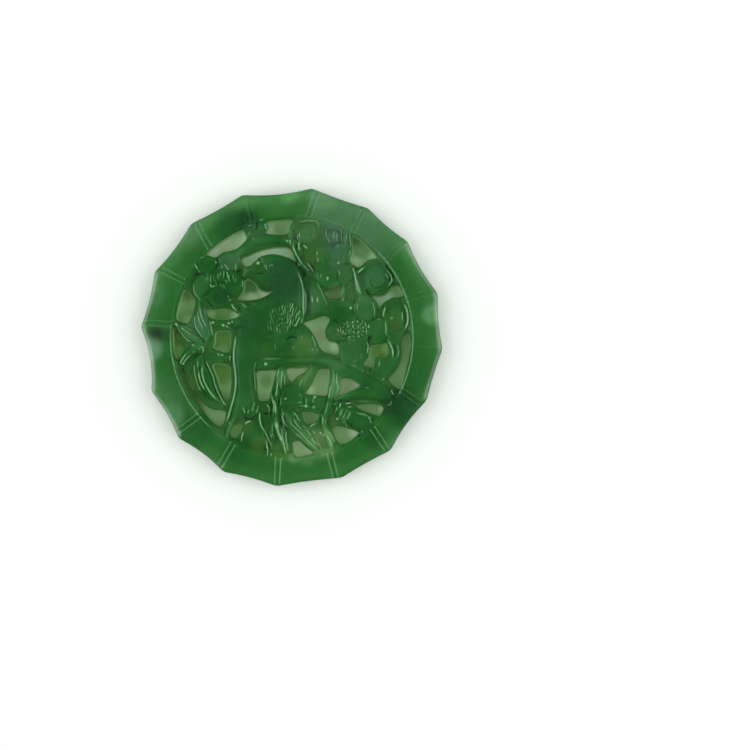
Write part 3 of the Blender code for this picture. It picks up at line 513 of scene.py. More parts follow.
# Feathers: rows of short strokes in a slanting oval, the shortest in its middle.
# The sines set each a little off its place, and make it higher or lower.
WING, WING_RADII, WING_SLANT = (-1.6, 3.25), (3.2, 2.35), math.radians(22)
SHORT_PART, SHORT_RADII, SHORT_SHARE = (-1.9, 3.2), (1.3, 1.1), 0.36
FEATHER_GAP, FEATHER_ROW, FEATHER_LENGTH = 0.42, 0.9, 1.05
FEATHER_WIDTH, FEATHER_LEAN, ROW_SLOPE = 0.3, -0.14, 0.33
STRAY_X, STRAY_Y, UNEVEN = 0.09, 0.16, 0.45   # how far the sines reach: mm, mm, share of a rise
FEATHER_RISE, RISE_TO_RIGHT, LEFTMOST = 0.09, 0.033, -4.7
for row in range(-3, 4):
    for place in range(-9, 9):
        stray_x = STRAY_X * math.sin(7 * place + 3 * row)
        x = WING[0] + (place + 0.5 * (row % 2)) * FEATHER_GAP + stray_x
        right = x - WING[0]
        stray_y = STRAY_Y * math.sin(5 * x + 2 * row)
        y = WING[1] + row * FEATHER_ROW + ROW_SLOPE * right + stray_y
        above = y - WING[1]
        along = right * math.cos(WING_SLANT) + above * math.sin(WING_SLANT)
        up = above * math.cos(WING_SLANT) - right * math.sin(WING_SLANT)
        if math.hypot(along / WING_RADII[0], up / WING_RADII[1]) < 1:
            inwards = math.hypot((x - SHORT_PART[0]) / SHORT_RADII[0],
                                 (y - SHORT_PART[1]) / SHORT_RADII[1])
            lean = FEATHER_LEAN * right / 2
            half = (SHORT_SHARE if inwards < 1 else 1.0) * FEATHER_LENGTH / 2
            rise = FEATHER_RISE + RISE_TO_RIGHT * (x - LEFTMOST)
            cut(FEATHER_WIDTH, rise * (1 + UNEVEN * math.sin(11 * place + 7 * row)),
                ((x - lean, y + half), (x + lean, y - half)))


# =================================================================== blossoms
# Three five-petalled plum blossoms, with buds and a pod.  The petals are
# hollowed and have thin lips; the discs carry stamens, cut as short strokes.
LEAF_POINTS = 15          # along the middle line of a leaf
LEAF_TIP = 0.08           # share of its width that a leaf keeps at its ends
LEAF_BELLY = 0.85         # below 1, a leaf is widest nearer its root
PETAL_FULLNESS, PETAL_HOLLOW = 5.0, 0.12
# Each petal: its middle, its half width and half height, its turn and its crest.
PETALS = (
    (-14.6, 12.6, 2.1, 1.8, 15, 4.0), (-10.9, 12.9, 2.1, 2.0, 0, 3.95),
    (-10.1, 9.3, 1.9, 2.4, 0, 4.0), (-12.6, 7.3, 2.5, 2.4, 0, 3.9),
    (-15.0, 8.8, 2.4, 2.5, 0, 4.1),
    (5.7, 14.2, 2.0, 2.1, 0, 3.9), (8.6, 14.3, 2.1, 2.3, 0, 4.1), (9.0, 11.2, 1.9, 2.3, 0, 3.8),
    (6.7, 10.2, 2.3, 2.0, 0, 4.0), (5.3, 11.9, 1.8, 1.8, 0, 3.7),
    (12.6, 5.0, 2.2, 2.6, 0, 4.05), (9.0, 4.4, 2.6, 2.4, 0, 3.95), (7.7, 1.3, 2.0, 2.6, 0, 3.9),
    (14.8, 1.2, 2.0, 2.8, 0, 3.9))


def leaf(root, tip, width, bow=0.0, crest=3.9, keel=0.12):
    """A pointed leaf, or a bud's scale, with a soft keel.  At a share t of its length
    its width follows sin(pi t^belly), and its middle line bows by 4 t (1 - t)."""
    root, tip = np.array(root), np.array(tip)
    ahead = tip - root
    aside = np.array([-ahead[1], ahead[0]])
    t = np.linspace(0, 1, LEAF_POINTS)[:, None]
    line = root + ahead * t + aside * 4 * bow * t * (1 - t)
    widths = width * np.maximum(LEAF_TIP, np.sin(math.pi * t[:, 0] ** LEAF_BELLY))
    swell(line, widths, crest, 2.0, keel)


# Each flower's middle mass, that its petals stand up from a little.
slab(((-16.2, 12.6), (-13.0, 13.6), (-9.6, 13.6), (-8.9, 11.0), (-9.0, 8.0), (-12.6, 5.8),
     (-16.2, 7.6), (-16.6, 10.4)), 3.65, 0.9)
slab(((5.0, 15.0), (7.2, 15.2), (9.6, 15.6), (10.2, 12.5), (9.8, 9.8), (7.0, 9.0), (5.0, 10.0),
     (4.2, 12.5)), 3.6, 0.9)
slab(((11.0, 6.4), (13.4, 6.6), (14.2, 3.8), (16.0, 2.4), (15.4, -0.6), (13.0, -3.4), (9.6, -3.8),
     (8.2, -1.0), (6.4, 0.4), (6.2, 3.0), (7.4, 5.8)), 3.6, 0.9)
for x, y, half_width, half_height, turn, crest in PETALS:
    boss((x, y), (half_width, half_height), crest, turn, PETAL_FULLNESS, PETAL_HOLLOW)
slab(((8.3, 0.4), (8.1, -2.2), (8.3, -5.0), (9.6, -6.6), (11.6, -7.4), (12.8, -7.0), (12.9, -4.8),
     (13.2, -2.2), (13.2, 0.4)), 4.0, 0.8)
boss((-12.0, 10.6), (3.0, 1.8), 4.1, fullness=2.6)
boss((7.1, 12.7), (1.7, 1.4), 4.2)
boss((10.95, 1.5), (3.1, 1.95), 4.3, fullness=2.8)

# Dark clefts between the petals, then the first one's stamens and petal lips.
cut(0.8, -0.2, ((-12.9, 14.2), (-12.8, 12.8), (-13.3, 11.7)),
    ((-17.0, 10.9), (-15.8, 11.0), (-14.9, 11.3)), ((-15.6, 7.0), (-14.7, 7.6), (-13.9, 8.4)),
    ((-10.5, 6.6), (-10.9, 7.8), (-11.2, 8.9)), ((-8.7, 11.6), (-9.8, 11.4), (-10.5, 11.5)))
cut(0.7, -0.14, ((10.2, 12.8), (9.2, 12.7), (8.6, 12.8)), ((7.8, 9.6), (7.8, 10.6), (7.6, 11.6)),
    ((4.0, 12.9), (5.2, 13.0)))
cut(0.7, -0.18, ((10.9, 6.6), (10.8, 5.0), (10.9, 3.7)), ((15.2, 3.6), (14.2, 3.2), (13.6, 2.8)),
    ((6.2, 3.2), (7.2, 2.9), (8.2, 2.6)), ((8.2, -0.9), (8.8, -0.6), (9.6, -0.5)),
    ((13.3, -1.2), (13.3, -0.4), (13.6, 0.3)))
cut(0.27, 0.2, ((-14.6, 11.4), (-14.5, 9.8)), ((-14.1, 11.3), (-14.05, 9.4)),
    ((-13.6, 11.0), (-13.5, 9.7)), ((-13.2, 10.2), (-13.05, 8.9)), ((-12.8, 11.2), (-12.75, 10.1)),
    ((-14.9, 10.6), (-14.8, 9.6)), ((-12.3, 11.4), (-12.4, 10.6)), ((-10.2, 10.9), (-10.0, 9.6)),
    ((-9.7, 10.5), (-9.65, 9.4)), ((-12.4, 9.4), (-12.2, 8.7)), ((-13.0, 12.0), (-12.2, 11.9)),
    ((-11.9, 9.3), (-11.7, 8.4)))
cut(0.3, 0.32, ((-11.7, 12.8), (-11.3, 12.2), (-10.8, 11.5)),
    ((-11.9, 11.7), (-11.7, 11.0), (-11.8, 10.3)), ((-11.4, 11.5), (-11.1, 10.9), (-11.2, 10.2)),
    ((-10.8, 10.9), (-10.9, 10.2), (-10.7, 9.6)), ((-11.5, 10.0), (-11.2, 9.5)),
    ((-12.2, 12.4), (-11.9, 12.0)))
cut(0.4, -0.22, ((-11.5, 11.2), (-11.45, 10.3)), ((-13.7, 9.6), (-13.4, 9.0)))
cut(0.34, 0.26, ((-17.0, 9.5), (-16.95, 8.0), (-16.1, 6.7), (-15.2, 6.0)),
    ((-16.9, 12.9), (-16.6, 12.3), (-16.2, 11.6), (-15.8, 11.0)),
    ((-8.55, 10.1), (-8.5, 9.2), (-8.6, 8.6)), ((-12.9, 14.0), (-12.55, 13.5), (-12.7, 12.9)),
    ((-14.2, 9.3), (-13.7, 8.5)))
cut(0.3, 0.22, ((-9.2, 14.0), (-9.15, 13.1)), ((-9.6, 13.0), (-9.7, 12.2), (-9.7, 11.4)),
    ((-15.9, 13.6), (-15.2, 14.0)), ((-10.6, 6.0), (-10.1, 5.2), (-9.4, 4.3)))
cut(0.6, -0.25, ((-14.7, 6.5), (-14.0, 5.6), (-13.2, 5.2)))
# Small beads on all three flowers.
bead(0.24, 0.22, (-13.1, 13.0), (-10.9, 7.9), (-10.9, 7.1), (-10.7, 6.5), (-16.5, 12.2),
    (-13.5, 8.9), (6.2, 10.0))
bead(0.24, 0.09, (5.2, 13.3), (8.95, 13.9), (8.0, 12.9), (10.3, 9.3), (9.8, 8.7), (8.7, 8.4))
bead(0.28, 0.3, (6.2, 10.3), (10.2, 5.1), (17.3, 3.35))
# Lines and lips of the second one's petals, then of the third one's.
cut(0.3, 0.22, ((8.15, 11.7), (8.3, 10.7)), ((5.2, 11.1), (4.9, 10.3)), ((4.3, 14.9), (4.35, 14.2)),
    ((4.4, 13.8), (4.6, 12.8)), ((4.4, 11.4), (4.5, 10.0)), ((8.1, 13.2), (8.0, 12.6)))
cut(0.4, 0.36, ((11.05, 6.1), (10.8, 5.3), (10.9, 4.3)))
cut(0.3, 0.2, ((11.5, 6.0), (11.3, 5.2), (11.4, 4.6)),
    ((13.8, 6.5), (14.2, 5.4), (14.4, 4.2), (14.3, 3.0)))
cut(0.3, 0.14, ((14.4, 3.2), (15.7, 3.2)), ((12.0, -2.6), (11.9, -3.8)),
    ((8.1, -1.2), (8.4, -2.2), (8.6, -3.6)))
cut(0.36, 0.34, ((13.0, -0.6), (13.2, -1.6), (12.9, -3.0)))
bead(0.5, -0.24, (13.6, 0.0))

# The third one's disc: short uneven strokes in slanting rows, longer at its edge.
DISC, DISC_RADII = (10.8, 1.5), (2.65, 1.6)
STAMEN_GAP, STAMEN_ROW = 0.36, 0.42
for row in range(-4, 5):
    for place in range(-7, 8):
        x = DISC[0] + STAMEN_GAP * place + 0.1 * row + 0.10 * math.sin(5.1 * place + 2.3 * row)
        y = DISC[1] + STAMEN_ROW * row + STAMEN_ROW / 2 * (place % 2)
        y += 0.13 * math.sin(3.7 * place - 4.1 * row)
        reach = math.hypot((x - DISC[0]) / DISC_RADII[0], (y - DISC[1]) / DISC_RADII[1])
        if reach < 1:
            half = 0.14 + 0.1 * reach + 0.07 * math.sin(4.3 * place + 6.1 * row)
            rise = 0.20 + 0.12 * math.sin(9.7 * place + 5.3 * row)
            cut(0.27, rise, ((x, y + half), (x + 0.3 * rise, y - half)))
cut(0.3, 0.3, ((12.75, 2.7), (12.9, 1.7)), ((13.2, 2.5), (13.4, 1.4)), ((12.9, 1.3), (12.9, 0.5)),
    ((8.35, 1.9), (8.5, 1.0), (8.9, 0.3)), ((8.7, 1.5), (9.1, 0.5)), ((8.0, 1.6), (8.1, 1.0)))
cut(0.3, 0.12, ((8.2, 2.6), (7.9, 1.6), (8.2, 0.4), (9.2, -0.3), (10.8, -0.5), (12.2, -0.2)))

# Buds: one at the top with fine vertical ribs, two on the arched branch, one
# smooth pod at the foot.
boss((7.3, 17.5), (1.7, 1.9), 4.2)
leaf((8.8, 13.6), (9.4, 19.6), 2.4, -0.03)
cut(0.32, 0.26, ((6.05, 18.9), (5.9, 17.9), (6.3, 17.0), (6.6, 16.1)),
    ((8.5, 18.8), (8.62, 17.6), (8.6, 16.2)), ((10.0, 18.2), (10.1, 16.8), (10.2, 15.3)))
cut(0.3, 0.16, ((7.25, 18.4), (7.35, 17.0)), ((7.7, 18.2), (7.8, 16.4)),
    ((9.05, 18.3), (9.0, 16.4)), ((9.5, 18.2), (9.5, 16.9)),
    ((7.0, 19.1), (8.1, 18.8), (8.6, 18.3)), ((8.0, 16.2), (7.9, 15.6)),
    ((10.2, 15.2), (9.95, 14.0)))
boss((-5.4, 19.3), (1.3, 1.3), 4.0)
boss((-7.2, 19.0), (1.4, 1.1), 3.7, 30)
cut(0.4, 0.34, ((-4.75, 19.8), (-4.55, 19.2), (-4.4, 18.6)), ((-5.5, 20.3), (-5.0, 20.3)))
cut(0.3, 0.2, ((-7.5, 18.4), (-7.4, 17.7)), ((-6.7, 17.5), (-6.65, 17.0)),
    ((-7.7, 19.3), (-6.8, 19.5)), ((-6.6, 19.4), (-6.4, 18.8)))
cut(0.4, -0.3, ((-6.1, 20.2), (-6.0, 19.0)))
boss((-6.2, -17.3), (2.7, 3.6), 3.9, fullness=2.6)
cut(0.42, 0.34, ((-8.4, -16.2), (-8.65, -17.2), (-8.8, -18.2)))
cut(0.5, 0.34, ((-8.2, -15.0), (-7.6, -14.6), (-7.0, -14.5)))


# =================================================================== tendrils
# Curling tendrils, each coiled into a flat scroll, and the stems that tie them
# to the rim and the bough.
GROOVE_POINTS = 26


def scroll_groove(width, rise, centre, turns, reaches):
    """A line that winds outwards round a scroll: its direction, in degrees, and
    its distance from the middle both grow evenly along it."""
    turn = np.radians(np.linspace(*turns, GROOVE_POINTS))
    reach = np.linspace(*reaches, GROOVE_POINTS)
    cut(width, rise, list(zip(centre[0] + reach * np.cos(turn), centre[1] + reach * np.sin(turn))))


def sink(depth, radii, centre):
    """Thins the stone in a soft oval pit: depth (1 - u^2)^1.5, u being the oval's radius."""
    area = window(np.array([centre]), max(radii))
    u = np.hypot((X[area] - centre[0]) / radii[0], (Y[area] - centre[1]) / radii[1])
    relief[area] -= depth * np.clip(1 - u ** 2, 0, 1) ** 1.5


boss((2.6, 18.1), (2.4, 2.4), 4.0, fullness=3.0)
scroll_groove(0.7, -0.14, (2.6, 18.1), (200, 560), (0.3, 1.6))
boss((14.6, 10.2), (2.9, 3.0), 4.1, fullness=3.0)
scroll_groove(0.6, -0.2, (14.5, 9.9), (100, 400), (0.5, 1.9))
boss((18.0, 3.7), (2.4, 3.0), 4.0, fullness=3.0)
sink(0.5, (1.4, 2.0), (17.9, 2.6))
# Stems, and the broad stalks behind the second and the third flower.
limb(((9.9, 13.6), (10.9, 11.0), (11.7, 8.0), (12.4, 5.4)), (1.5, 1.6, 1.6, 1.6), 3.8)
limb(((11.0, 11.2), (12.6, 12.2)), (1.2, 1.1), 3.9)
limb(((-0.5, 18.6), (0.2, 15.8), (1.4, 13.2), (3.0, 10.8)), (1.5, 1.5, 1.4, 1.4), 3.9)
limb(((1.4, 17.6), (1.4, 14.8), (1.0, 12.4)), (1.3, 1.3, 1.1), 3.8)
slab(((1.2, 13.8), (2.6, 13.6), (4.6, 12.4), (5.6, 10.4), (6.6, 9.0), (5.2, 8.8), (3.4, 9.8),
     (2.2, 11.2)), 3.9, 0.9, 2.0)
slab(((2.6, 10.2), (4.8, 10.4), (5.8, 8.2), (6.4, 6.0), (6.8, 3.4), (5.0, 3.4), (3.2, 2.6),
     (2.5, 4.4), (2.5, 7.6)), 3.8, 1.2, 2.2)
limb(((8.8, 9.2), (8.8, 6.8), (8.0, 5.2)), (1.3, 1.3, 1.6), 3.8)
limb(((16.1, 3.6), (16.4, 1.2), (17.2, -1.4), (17.7, -3.0), (17.0, -5.0), (15.0, -6.6)),
    (1.4, 1.5, 2.0, 2.6, 3.4, 3.4), 3.8)

# Bright raised lips on the scrolls and stems, and dark gouges beside them.
cut(0.4, 0.3, ((16.2, 12.1), (16.7, 11.4), (17.2, 10.6), (17.3, 9.8), (16.9, 9.2), (16.55, 8.6)))
cut(0.5, -0.4, ((16.0, 12.9), (16.7, 11.9), (17.4, 10.9), (17.8, 9.9)))
cut(0.5, 0.4, ((11.4, 11.1), (11.9, 11.6), (12.4, 12.0)))
cut(0.62, 0.44, ((19.0, 6.0), (19.7, 5.3), (20.0, 4.2), (20.05, 2.9), (19.8, 1.9), (19.3, 1.0)))
cut(0.5, 0.4, ((16.25, 5.4), (15.95, 4.5), (15.75, 3.5)))
cut(0.4, 0.3, ((16.6, -0.3), (17.1, -1.3), (17.5, -2.5), (17.4, -3.6)))
cut(0.4, 0.2, ((18.1, -1.1), (18.5, -2.4), (18.3, -3.7)),
    ((16.2, 3.0), (16.3, 1.6), (16.3, 0.7), (16.8, 0.2)), ((15.2, -3.9), (15.1, -5.1)),
    ((19.1, 4.6), (19.15, 2.8)), ((16.1, 11.2), (16.8, 10.2)))
cut(0.4, 0.34, ((14.15, -4.6), (14.0, -5.4)), ((13.1, -3.4), (12.7, -4.3), (12.4, -4.9)))
cut(0.5, -0.3, ((17.5, -1.0), (17.9, -2.2), (17.8, -3.4)), ((13.5, -5.2), (13.6, -6.0)))
cut(0.36, 0.3, ((10.7, 11.0), (11.2, 9.8), (11.5, 8.7), (11.9, 7.4)),
    ((10.5, 12.2), (10.9, 11.0), (11.05, 9.6), (11.2, 8.6), (11.4, 7.6)), taper=0.1)
cut(0.36, 0.2, ((8.9, 8.8), (8.8, 8.0), (8.5, 7.2), (8.4, 6.6)), ((9.0, 6.9), (8.8, 6.3)))
cut(0.36, 0.3, ((-0.35, 17.0), (-0.25, 16.0)),
    ((0.1, 16.4), (0.4, 15.2), (0.9, 14.1), (1.5, 13.1), (2.2, 12.2)), ((1.0, 17.8), (1.0, 16.8)),
    ((1.3, 18.1), (1.3, 17.4)), ((1.1, 12.9), (1.5, 12.3)))
cut(0.5, 0.34, ((1.2, 16.7), (1.15, 15.8), (1.2, 14.9)), ((-1.0, 16.9), (-0.6, 16.5)))
cut(0.5, 0.4, ((1.9, 16.0), (2.2, 15.8), (2.7, 15.4)))
cut(0.36, 0.2, ((1.9, 12.6), (2.6, 11.9), (3.2, 11.3)), ((2.6, 13.1), (3.2, 12.2), (3.8, 11.2)),
    ((0.7, 19.9), (2.0, 20.1), (3.6, 20.2), (4.5, 19.8), (4.6, 18.4)), ((-0.6, 15.6), (0.3, 14.4)),
    ((4.6, 10.2), (4.6, 9.0), (5.2, 7.9), (5.8, 6.4), (6.2, 4.8)))
cut(0.5, -0.3, ((3.0, 13.0), (3.8, 12.0), (4.2, 11.3)), ((2.1, 11.6), (2.0, 10.4)),
    ((1.6, 16.4), (1.6, 15.6)))
cut(0.44, 0.36, ((3.4, 7.1), (3.6, 6.1)), ((4.4, 7.0), (4.5, 6.0)))


# ===================================================================== leaves
# Sprays of bamboo leaf with raised ribs, beside the trunk and below the bough.
# They lie over one another, and their tips run into the rim.

# The spray beside the trunk, leaf by leaf, and the knot that it springs from.
slab(((-16.9, 4.0), (-17.0, 2.6), (-16.7, 1.2), (-15.8, 0.0), (-15.2, -1.4), (-14.0, -0.8),
     (-13.5, 0.6), (-13.7, 1.9), (-14.3, 3.2), (-14.9, 4.4), (-15.3, 5.8), (-15.9, 6.9),
     (-16.6, 6.6), (-16.8, 5.4)), 4.1, 0.9, 2.0)
slab(((-20.6, 3.0), (-19.8, 1.3), (-18.9, -0.1), (-17.6, -0.9), (-15.8, -1.6), (-15.0, -0.4),
     (-16.6, 0.9), (-17.8, 1.8), (-19.2, 2.6)), 3.9, 0.8, 2.0)
slab(((-20.2, -5.2), (-19.4, -3.4), (-18.4, -2.0), (-17.0, -0.9), (-15.4, -1.4), (-16.0, -2.8),
     (-17.4, -3.6), (-18.6, -5.0)), 3.9, 0.8, 2.0)
slab(((-18.9, -4.8), (-17.9, -7.6), (-16.6, -9.8), (-15.0, -11.5), (-12.6, -12.5), (-11.2, -13.0),
     (-13.0, -11.4), (-15.0, -10.0), (-16.2, -7.8), (-16.8, -5.4), (-17.2, -3.8)), 3.0, 0.7, 2.0)
slab(((-17.1, -3.2), (-17.1, -5.4), (-16.7, -7.4), (-15.9, -9.2), (-14.6, -10.7), (-12.8, -11.6),
     (-10.9, -12.8), (-11.8, -11.1), (-12.7, -9.8), (-13.3, -8.0), (-13.8, -6.4), (-14.6, -4.8),
     (-15.2, -2.6)), 4.1, 1.0, 2.2)
boss((-16.0, -1.7), (1.7, 1.5), 4.2, fullness=2.6)
# Its ribs: the strong ones first, then the finer.
cut(0.4, 0.32, ((-16.75, 4.0), (-16.8, 2.6), (-16.5, 1.5), (-15.9, 0.6), (-15.2, -0.2)),
    ((-14.3, 3.0), (-14.05, 2.0), (-13.8, 1.0), (-13.75, 0.2)),
    ((-16.85, -4.4), (-16.9, -5.6), (-16.6, -7.1), (-16.2, -8.4), (-15.6, -9.5)),
    ((-15.1, -3.7), (-14.4, -5.2), (-13.7, -6.7), (-13.4, -8.0), (-12.9, -9.3), (-12.4, -10.4),
     (-11.8, -11.3), (-11.2, -12.1)),
    ((-20.1, 2.4), (-19.4, 1.1), (-18.7, 0.1), (-18.0, -0.5), (-17.3, -0.8)), taper=0.1)
cut(0.42, 0.3,
    ((-15.5, -4.6), (-15.5, -6.0), (-15.2, -7.4), (-14.6, -8.7), (-13.8, -9.9), (-12.9, -10.9)),
    ((-16.1, -5.8), (-15.95, -7.2), (-15.5, -8.3), (-15.0, -9.2)), taper=0.15)
cut(0.36, 0.2, ((-16.35, 5.0), (-16.3, 3.9), (-16.0, 2.9), (-15.6, 2.0), (-15.3, 1.0)),
    ((-15.95, 5.5), (-15.8, 4.3), (-15.5, 3.2), (-15.0, 2.2), (-14.8, 1.2)),
    ((-15.4, 5.6), (-15.1, 4.4), (-14.8, 3.4), (-14.4, 3.0)),
    ((-19.5, 1.9), (-18.8, 1.4), (-18.0, 0.8), (-17.3, 0.2)),
    ((-19.6, 2.2), (-18.4, 1.8), (-17.0, 0.9)), ((-18.85, -2.9), (-19.1, -3.8), (-19.4, -4.7)),
    ((-18.7, -5.4), (-17.9, -7.6), (-16.6, -9.6)), ((-16.3, -4.0), (-16.3, -5.2)))
cut(0.36, 0.24, ((-17.3, -2.9), (-18.2, -3.7), (-18.8, -4.6)),
    ((-18.2, -2.6), (-18.8, -3.5), (-19.3, -4.5)))
cut(0.32, 0.26, ((-16.0, -1.4), (-15.5, -1.7), (-15.3, -2.3), (-15.7, -2.9)))
bead(0.3, 0.24, (-17.15, -1.3), (-20.05, 2.3), (-18.8, -4.6))
bead(0.24, 0.14, (-16.0, -1.95), (-17.0, -2.5), (-14.9, -1.1))

# The stalk and blades below the bough.
limb(((-1.7, -4.9), (-2.3, -7.4), (-2.7, -10.2), (-2.9, -13.2), (-2.7, -15.2)),
    (2.3, 2.1, 1.8, 1.9, 1.8), 3.9)
leaf((-2.9, -13.2), (-0.9, -20.9), 1.8, 0.0, 4.0)
leaf((-3.3, -13.2), (-3.5, -20.9), 1.9, crest=3.6, keel=0.0)
leaf((-5.9, -11.0), (-3.5, -20.9), 1.8, -0.05)
leaf((-1.8, -12.0), (-0.8, -20.9), 1.5)
slab(((-2.2, -12.2), (-0.6, -12.1), (0.6, -12.6), (1.2, -13.8), (2.2, -15.2), (3.4, -16.6),
     (4.1, -17.8), (5.0, -19.2), (6.0, -20.9), (4.4, -20.4), (2.8, -19.2), (1.4, -17.9),
     (0.0, -17.4), (-0.9, -15.6), (-1.6, -14.2)), 3.9, 1.0, 2.2)
slab(((2.6, -16.0), (3.2, -15.2), (4.4, -14.7), (5.8, -14.8), (6.4, -16.0), (6.4, -17.8),
     (5.2, -18.4), (3.8, -18.0)), 3.0, 0.8, 2.0)
# Lines of the stalk, then the blades' lips and ribs.
cut(0.34, 0.24, ((-2.3, -5.3), (-2.5, -6.9)), ((-1.55, -5.3), (-1.75, -7.0), (-1.95, -9.4)),
    ((-1.3, -5.9), (-1.35, -7.4), (-1.1, -8.6)), ((-2.4, -7.4), (-2.55, -8.6), (-2.75, -10.4)),
    ((-3.1, -6.9), (-3.4, -8.3)), ((-2.0, -10.1), (-1.95, -12.0)))
cut(0.34, 0.34, ((-3.55, -9.4), (-3.4, -10.6), (-3.15, -11.8), (-3.2, -13.4)),
    ((-3.3, -10.6), (-2.85, -11.8), (-2.8, -13.4)))
cut(0.95, 0.5, ((-2.8, -14.2), (-2.6, -15.6), (-2.15, -17.0), (-1.6, -18.4)))
cut(0.36, 0.34, ((-1.85, -15.3), (-1.65, -16.5), (-1.4, -18.0), (-1.2, -19.2), (-1.0, -20.2)),
    ((-1.0, -16.1), (-0.95, -17.5), (-0.75, -18.9), (-0.6, -19.9)),
    ((-5.5, -12.6), (-5.55, -14.2), (-5.2, -15.4), (-4.6, -16.4), (-4.1, -17.6), (-3.7, -18.5),
     (-3.5, -19.2)), ((-4.4, -17.6), (-4.25, -19.2), (-4.2, -20.7)), ((-3.6, -20.0), (-3.6, -20.6)),
    taper=0.12)
cut(0.6, 0.12, ((-3.4, -14.4), (-3.3, -16.6)))
cut(0.26, 0.14, ((-3.9, -16.5), (-3.4, -17.4)), ((-3.6, -16.3), (-3.1, -17.2)),
    ((-3.3, -16.6), (-3.9, -17.6)), ((-2.9, -16.8), (-3.3, -17.5)))
cut(0.36, -0.3, ((-2.1, -14.6), (-1.75, -15.2)), ((-2.3, -15.4), (-2.0, -16.8)),
    ((-1.3, -15.3), (-0.8, -15.9)), ((-2.1, -10.4), (-2.4, -12.0)), ((-3.0, -7.6), (-3.1, -9.6)))
cut(0.4, 0.34, ((0.1, -12.9), (0.7, -13.4), (1.1, -14.1), (1.5, -14.8)),
    ((2.4, -15.8), (2.9, -16.5), (3.4, -17.0)), ((3.4, -17.2), (3.8, -18.0), (4.5, -18.8)))
cut(0.4, 0.2, ((1.7, -15.1), (2.4, -15.8)),
    ((-0.5, -13.6), (-0.1, -14.9), (0.8, -15.8), (1.8, -16.8), (3.0, -18.2), (4.2, -19.3)),
    ((-1.8, -13.2), (-1.5, -14.3), (-0.9, -15.3), (-0.4, -15.8)),
    ((0.2, -13.9), (0.9, -15.1), (1.8, -16.0)), ((4.2, -17.8), (4.9, -18.9), (5.2, -19.7)),
    ((-1.6, -12.9), (-1.4, -13.6)), ((0.4, -16.4), (2.2, -18.0), (3.4, -19.2)))
cut(0.4, 0.24, ((3.1, -15.6), (3.6, -15.1), (4.3, -14.9)), ((3.6, -16.2), (4.0, -16.7)))
bead(0.3, 0.28, (5.55, -16.9), (5.0, -16.55))
bead(0.26, 0.1, (0.9, -12.5), (-0.55, -12.3))

# The thin bamboo culm that crosses the foot of the bough, and its leaves.
limb(((7.4, -5.4), (7.2, -8.6), (6.7, -11.0), (5.9, -13.4), (5.6, -15.0), (6.2, -16.8),
     (7.3, -20.0)), (1.8, 1.7, 1.7, 1.5, 1.4, 1.5, 1.5), 4.2)
leaf((7.4, -10.4), (9.6, -15.6), 3.2, 0.0, 4.1)
leaf((8.4, -12.4), (15.4, -14.6), 2.4, 0.03)
# Lips, ribs and scars of the culm and its leaves.
cut(0.36, 0.34, ((6.75, -8.3), (6.55, -9.4), (6.35, -10.6)),
    ((5.2, -13.2), (5.35, -14.2), (5.3, -15.0)), ((6.3, -16.1), (6.9, -17.1), (7.4, -18.3)),
    ((6.1, -17.0), (6.6, -18.0), (7.0, -18.8)), ((13.3, -13.7), (13.5, -14.2), (13.8, -14.8)),
    taper=0.1)
cut(0.34, 0.2, ((6.3, -10.8), (6.0, -12.2), (5.6, -13.4)),
    ((7.9, -6.3), (7.75, -7.6), (8.1, -8.7), (7.85, -9.6)), ((7.3, -6.0), (7.3, -7.8)),
    ((7.4, -11.6), (6.9, -12.6), (6.5, -13.7)), ((7.9, -12.0), (7.4, -13.2)),
    ((8.9, -12.2), (8.4, -13.2), (8.1, -14.1)), ((9.6, -12.5), (9.1, -13.5), (8.9, -14.2)),
    ((5.9, -14.2), (6.0, -15.0)), ((11.1, -13.0), (11.8, -13.2), (12.6, -13.3), (13.2, -13.7)),
    ((6.2, -20.6), (6.6, -21.4)))
cut(0.45, 0.3, ((8.55, -11.2), (8.2, -12.1)), ((9.2, -11.4), (10.3, -11.35)),
    ((9.6, -12.05), (10.4, -12.0)))
cut(0.9, 0.16, ((10.2, -12.7), (9.8, -13.6), (9.3, -14.4)))
cut(0.4, -0.35, ((8.1, -11.4), (8.1, -12.0)), ((9.2, -11.1), (10.2, -11.05)),
    ((13.9, -13.8), (14.0, -14.3)), ((14.9, -16.9), (15.4, -17.6)))
bead(0.3, 0.26, (7.3, -11.5), (7.85, -14.1))
bead(0.26, 0.14, (8.85, -14.7), (12.15, -16.3), (1.5, -10.0))
bead(0.26, -0.3, (11.7, -16.2), (11.7, -17.0), (11.75, -17.7), (10.4, -15.2), (10.6, -15.6))


# ===================================================================== polish
# The carved face is polished by hand. Creases get painted shade and edges that stand clear a
# painted highlight, and the surface keeps shallow waves a few millimetres long, but nothing rises
# above the slice that it was cut from.
CREASE_WIDTH = 0.30
CREASE_LOOK = 2.6         # how strongly a millimetre of crease is painted dark as shade
CLEAR_LOOK = 0.35         # share of that by which an edge that stands clear is painted paler as a highlight
BELL_REACH = 2.5          # widths at which a bell curve is cut off
OVERHANG = 0.2            # the face counts as stone this far out over an opening
SLICE_TOP = 5.1
WAVE = 0.035
# Each wave: radians to the millimetre along X and along Y, its start, its share of WAVE.
WAVES = ((1.1, 0.7, 0.0, 1.0), (-0.6, 1.7, 1.0, 1.0), (2.3, -1.9, 2.0, 0.6))


def blurred(field, width):
    """A grid averaged with a bell curve along both of its directions."""
    reach = int(math.ceil(BELL_REACH * width / GRID_STEP))
    bell = np.exp(-0.5 * (np.arange(-reach, reach + 1) * GRID_STEP / width) ** 2)
    bell /= bell.sum()
    for _ in range(2):
        padded = np.pad(field, ((reach, reach), (0, 0)), mode="edge")
        field = sum(weight * padded[k:k + len(field)] for k, weight in enumerate(bell)).T
    return field


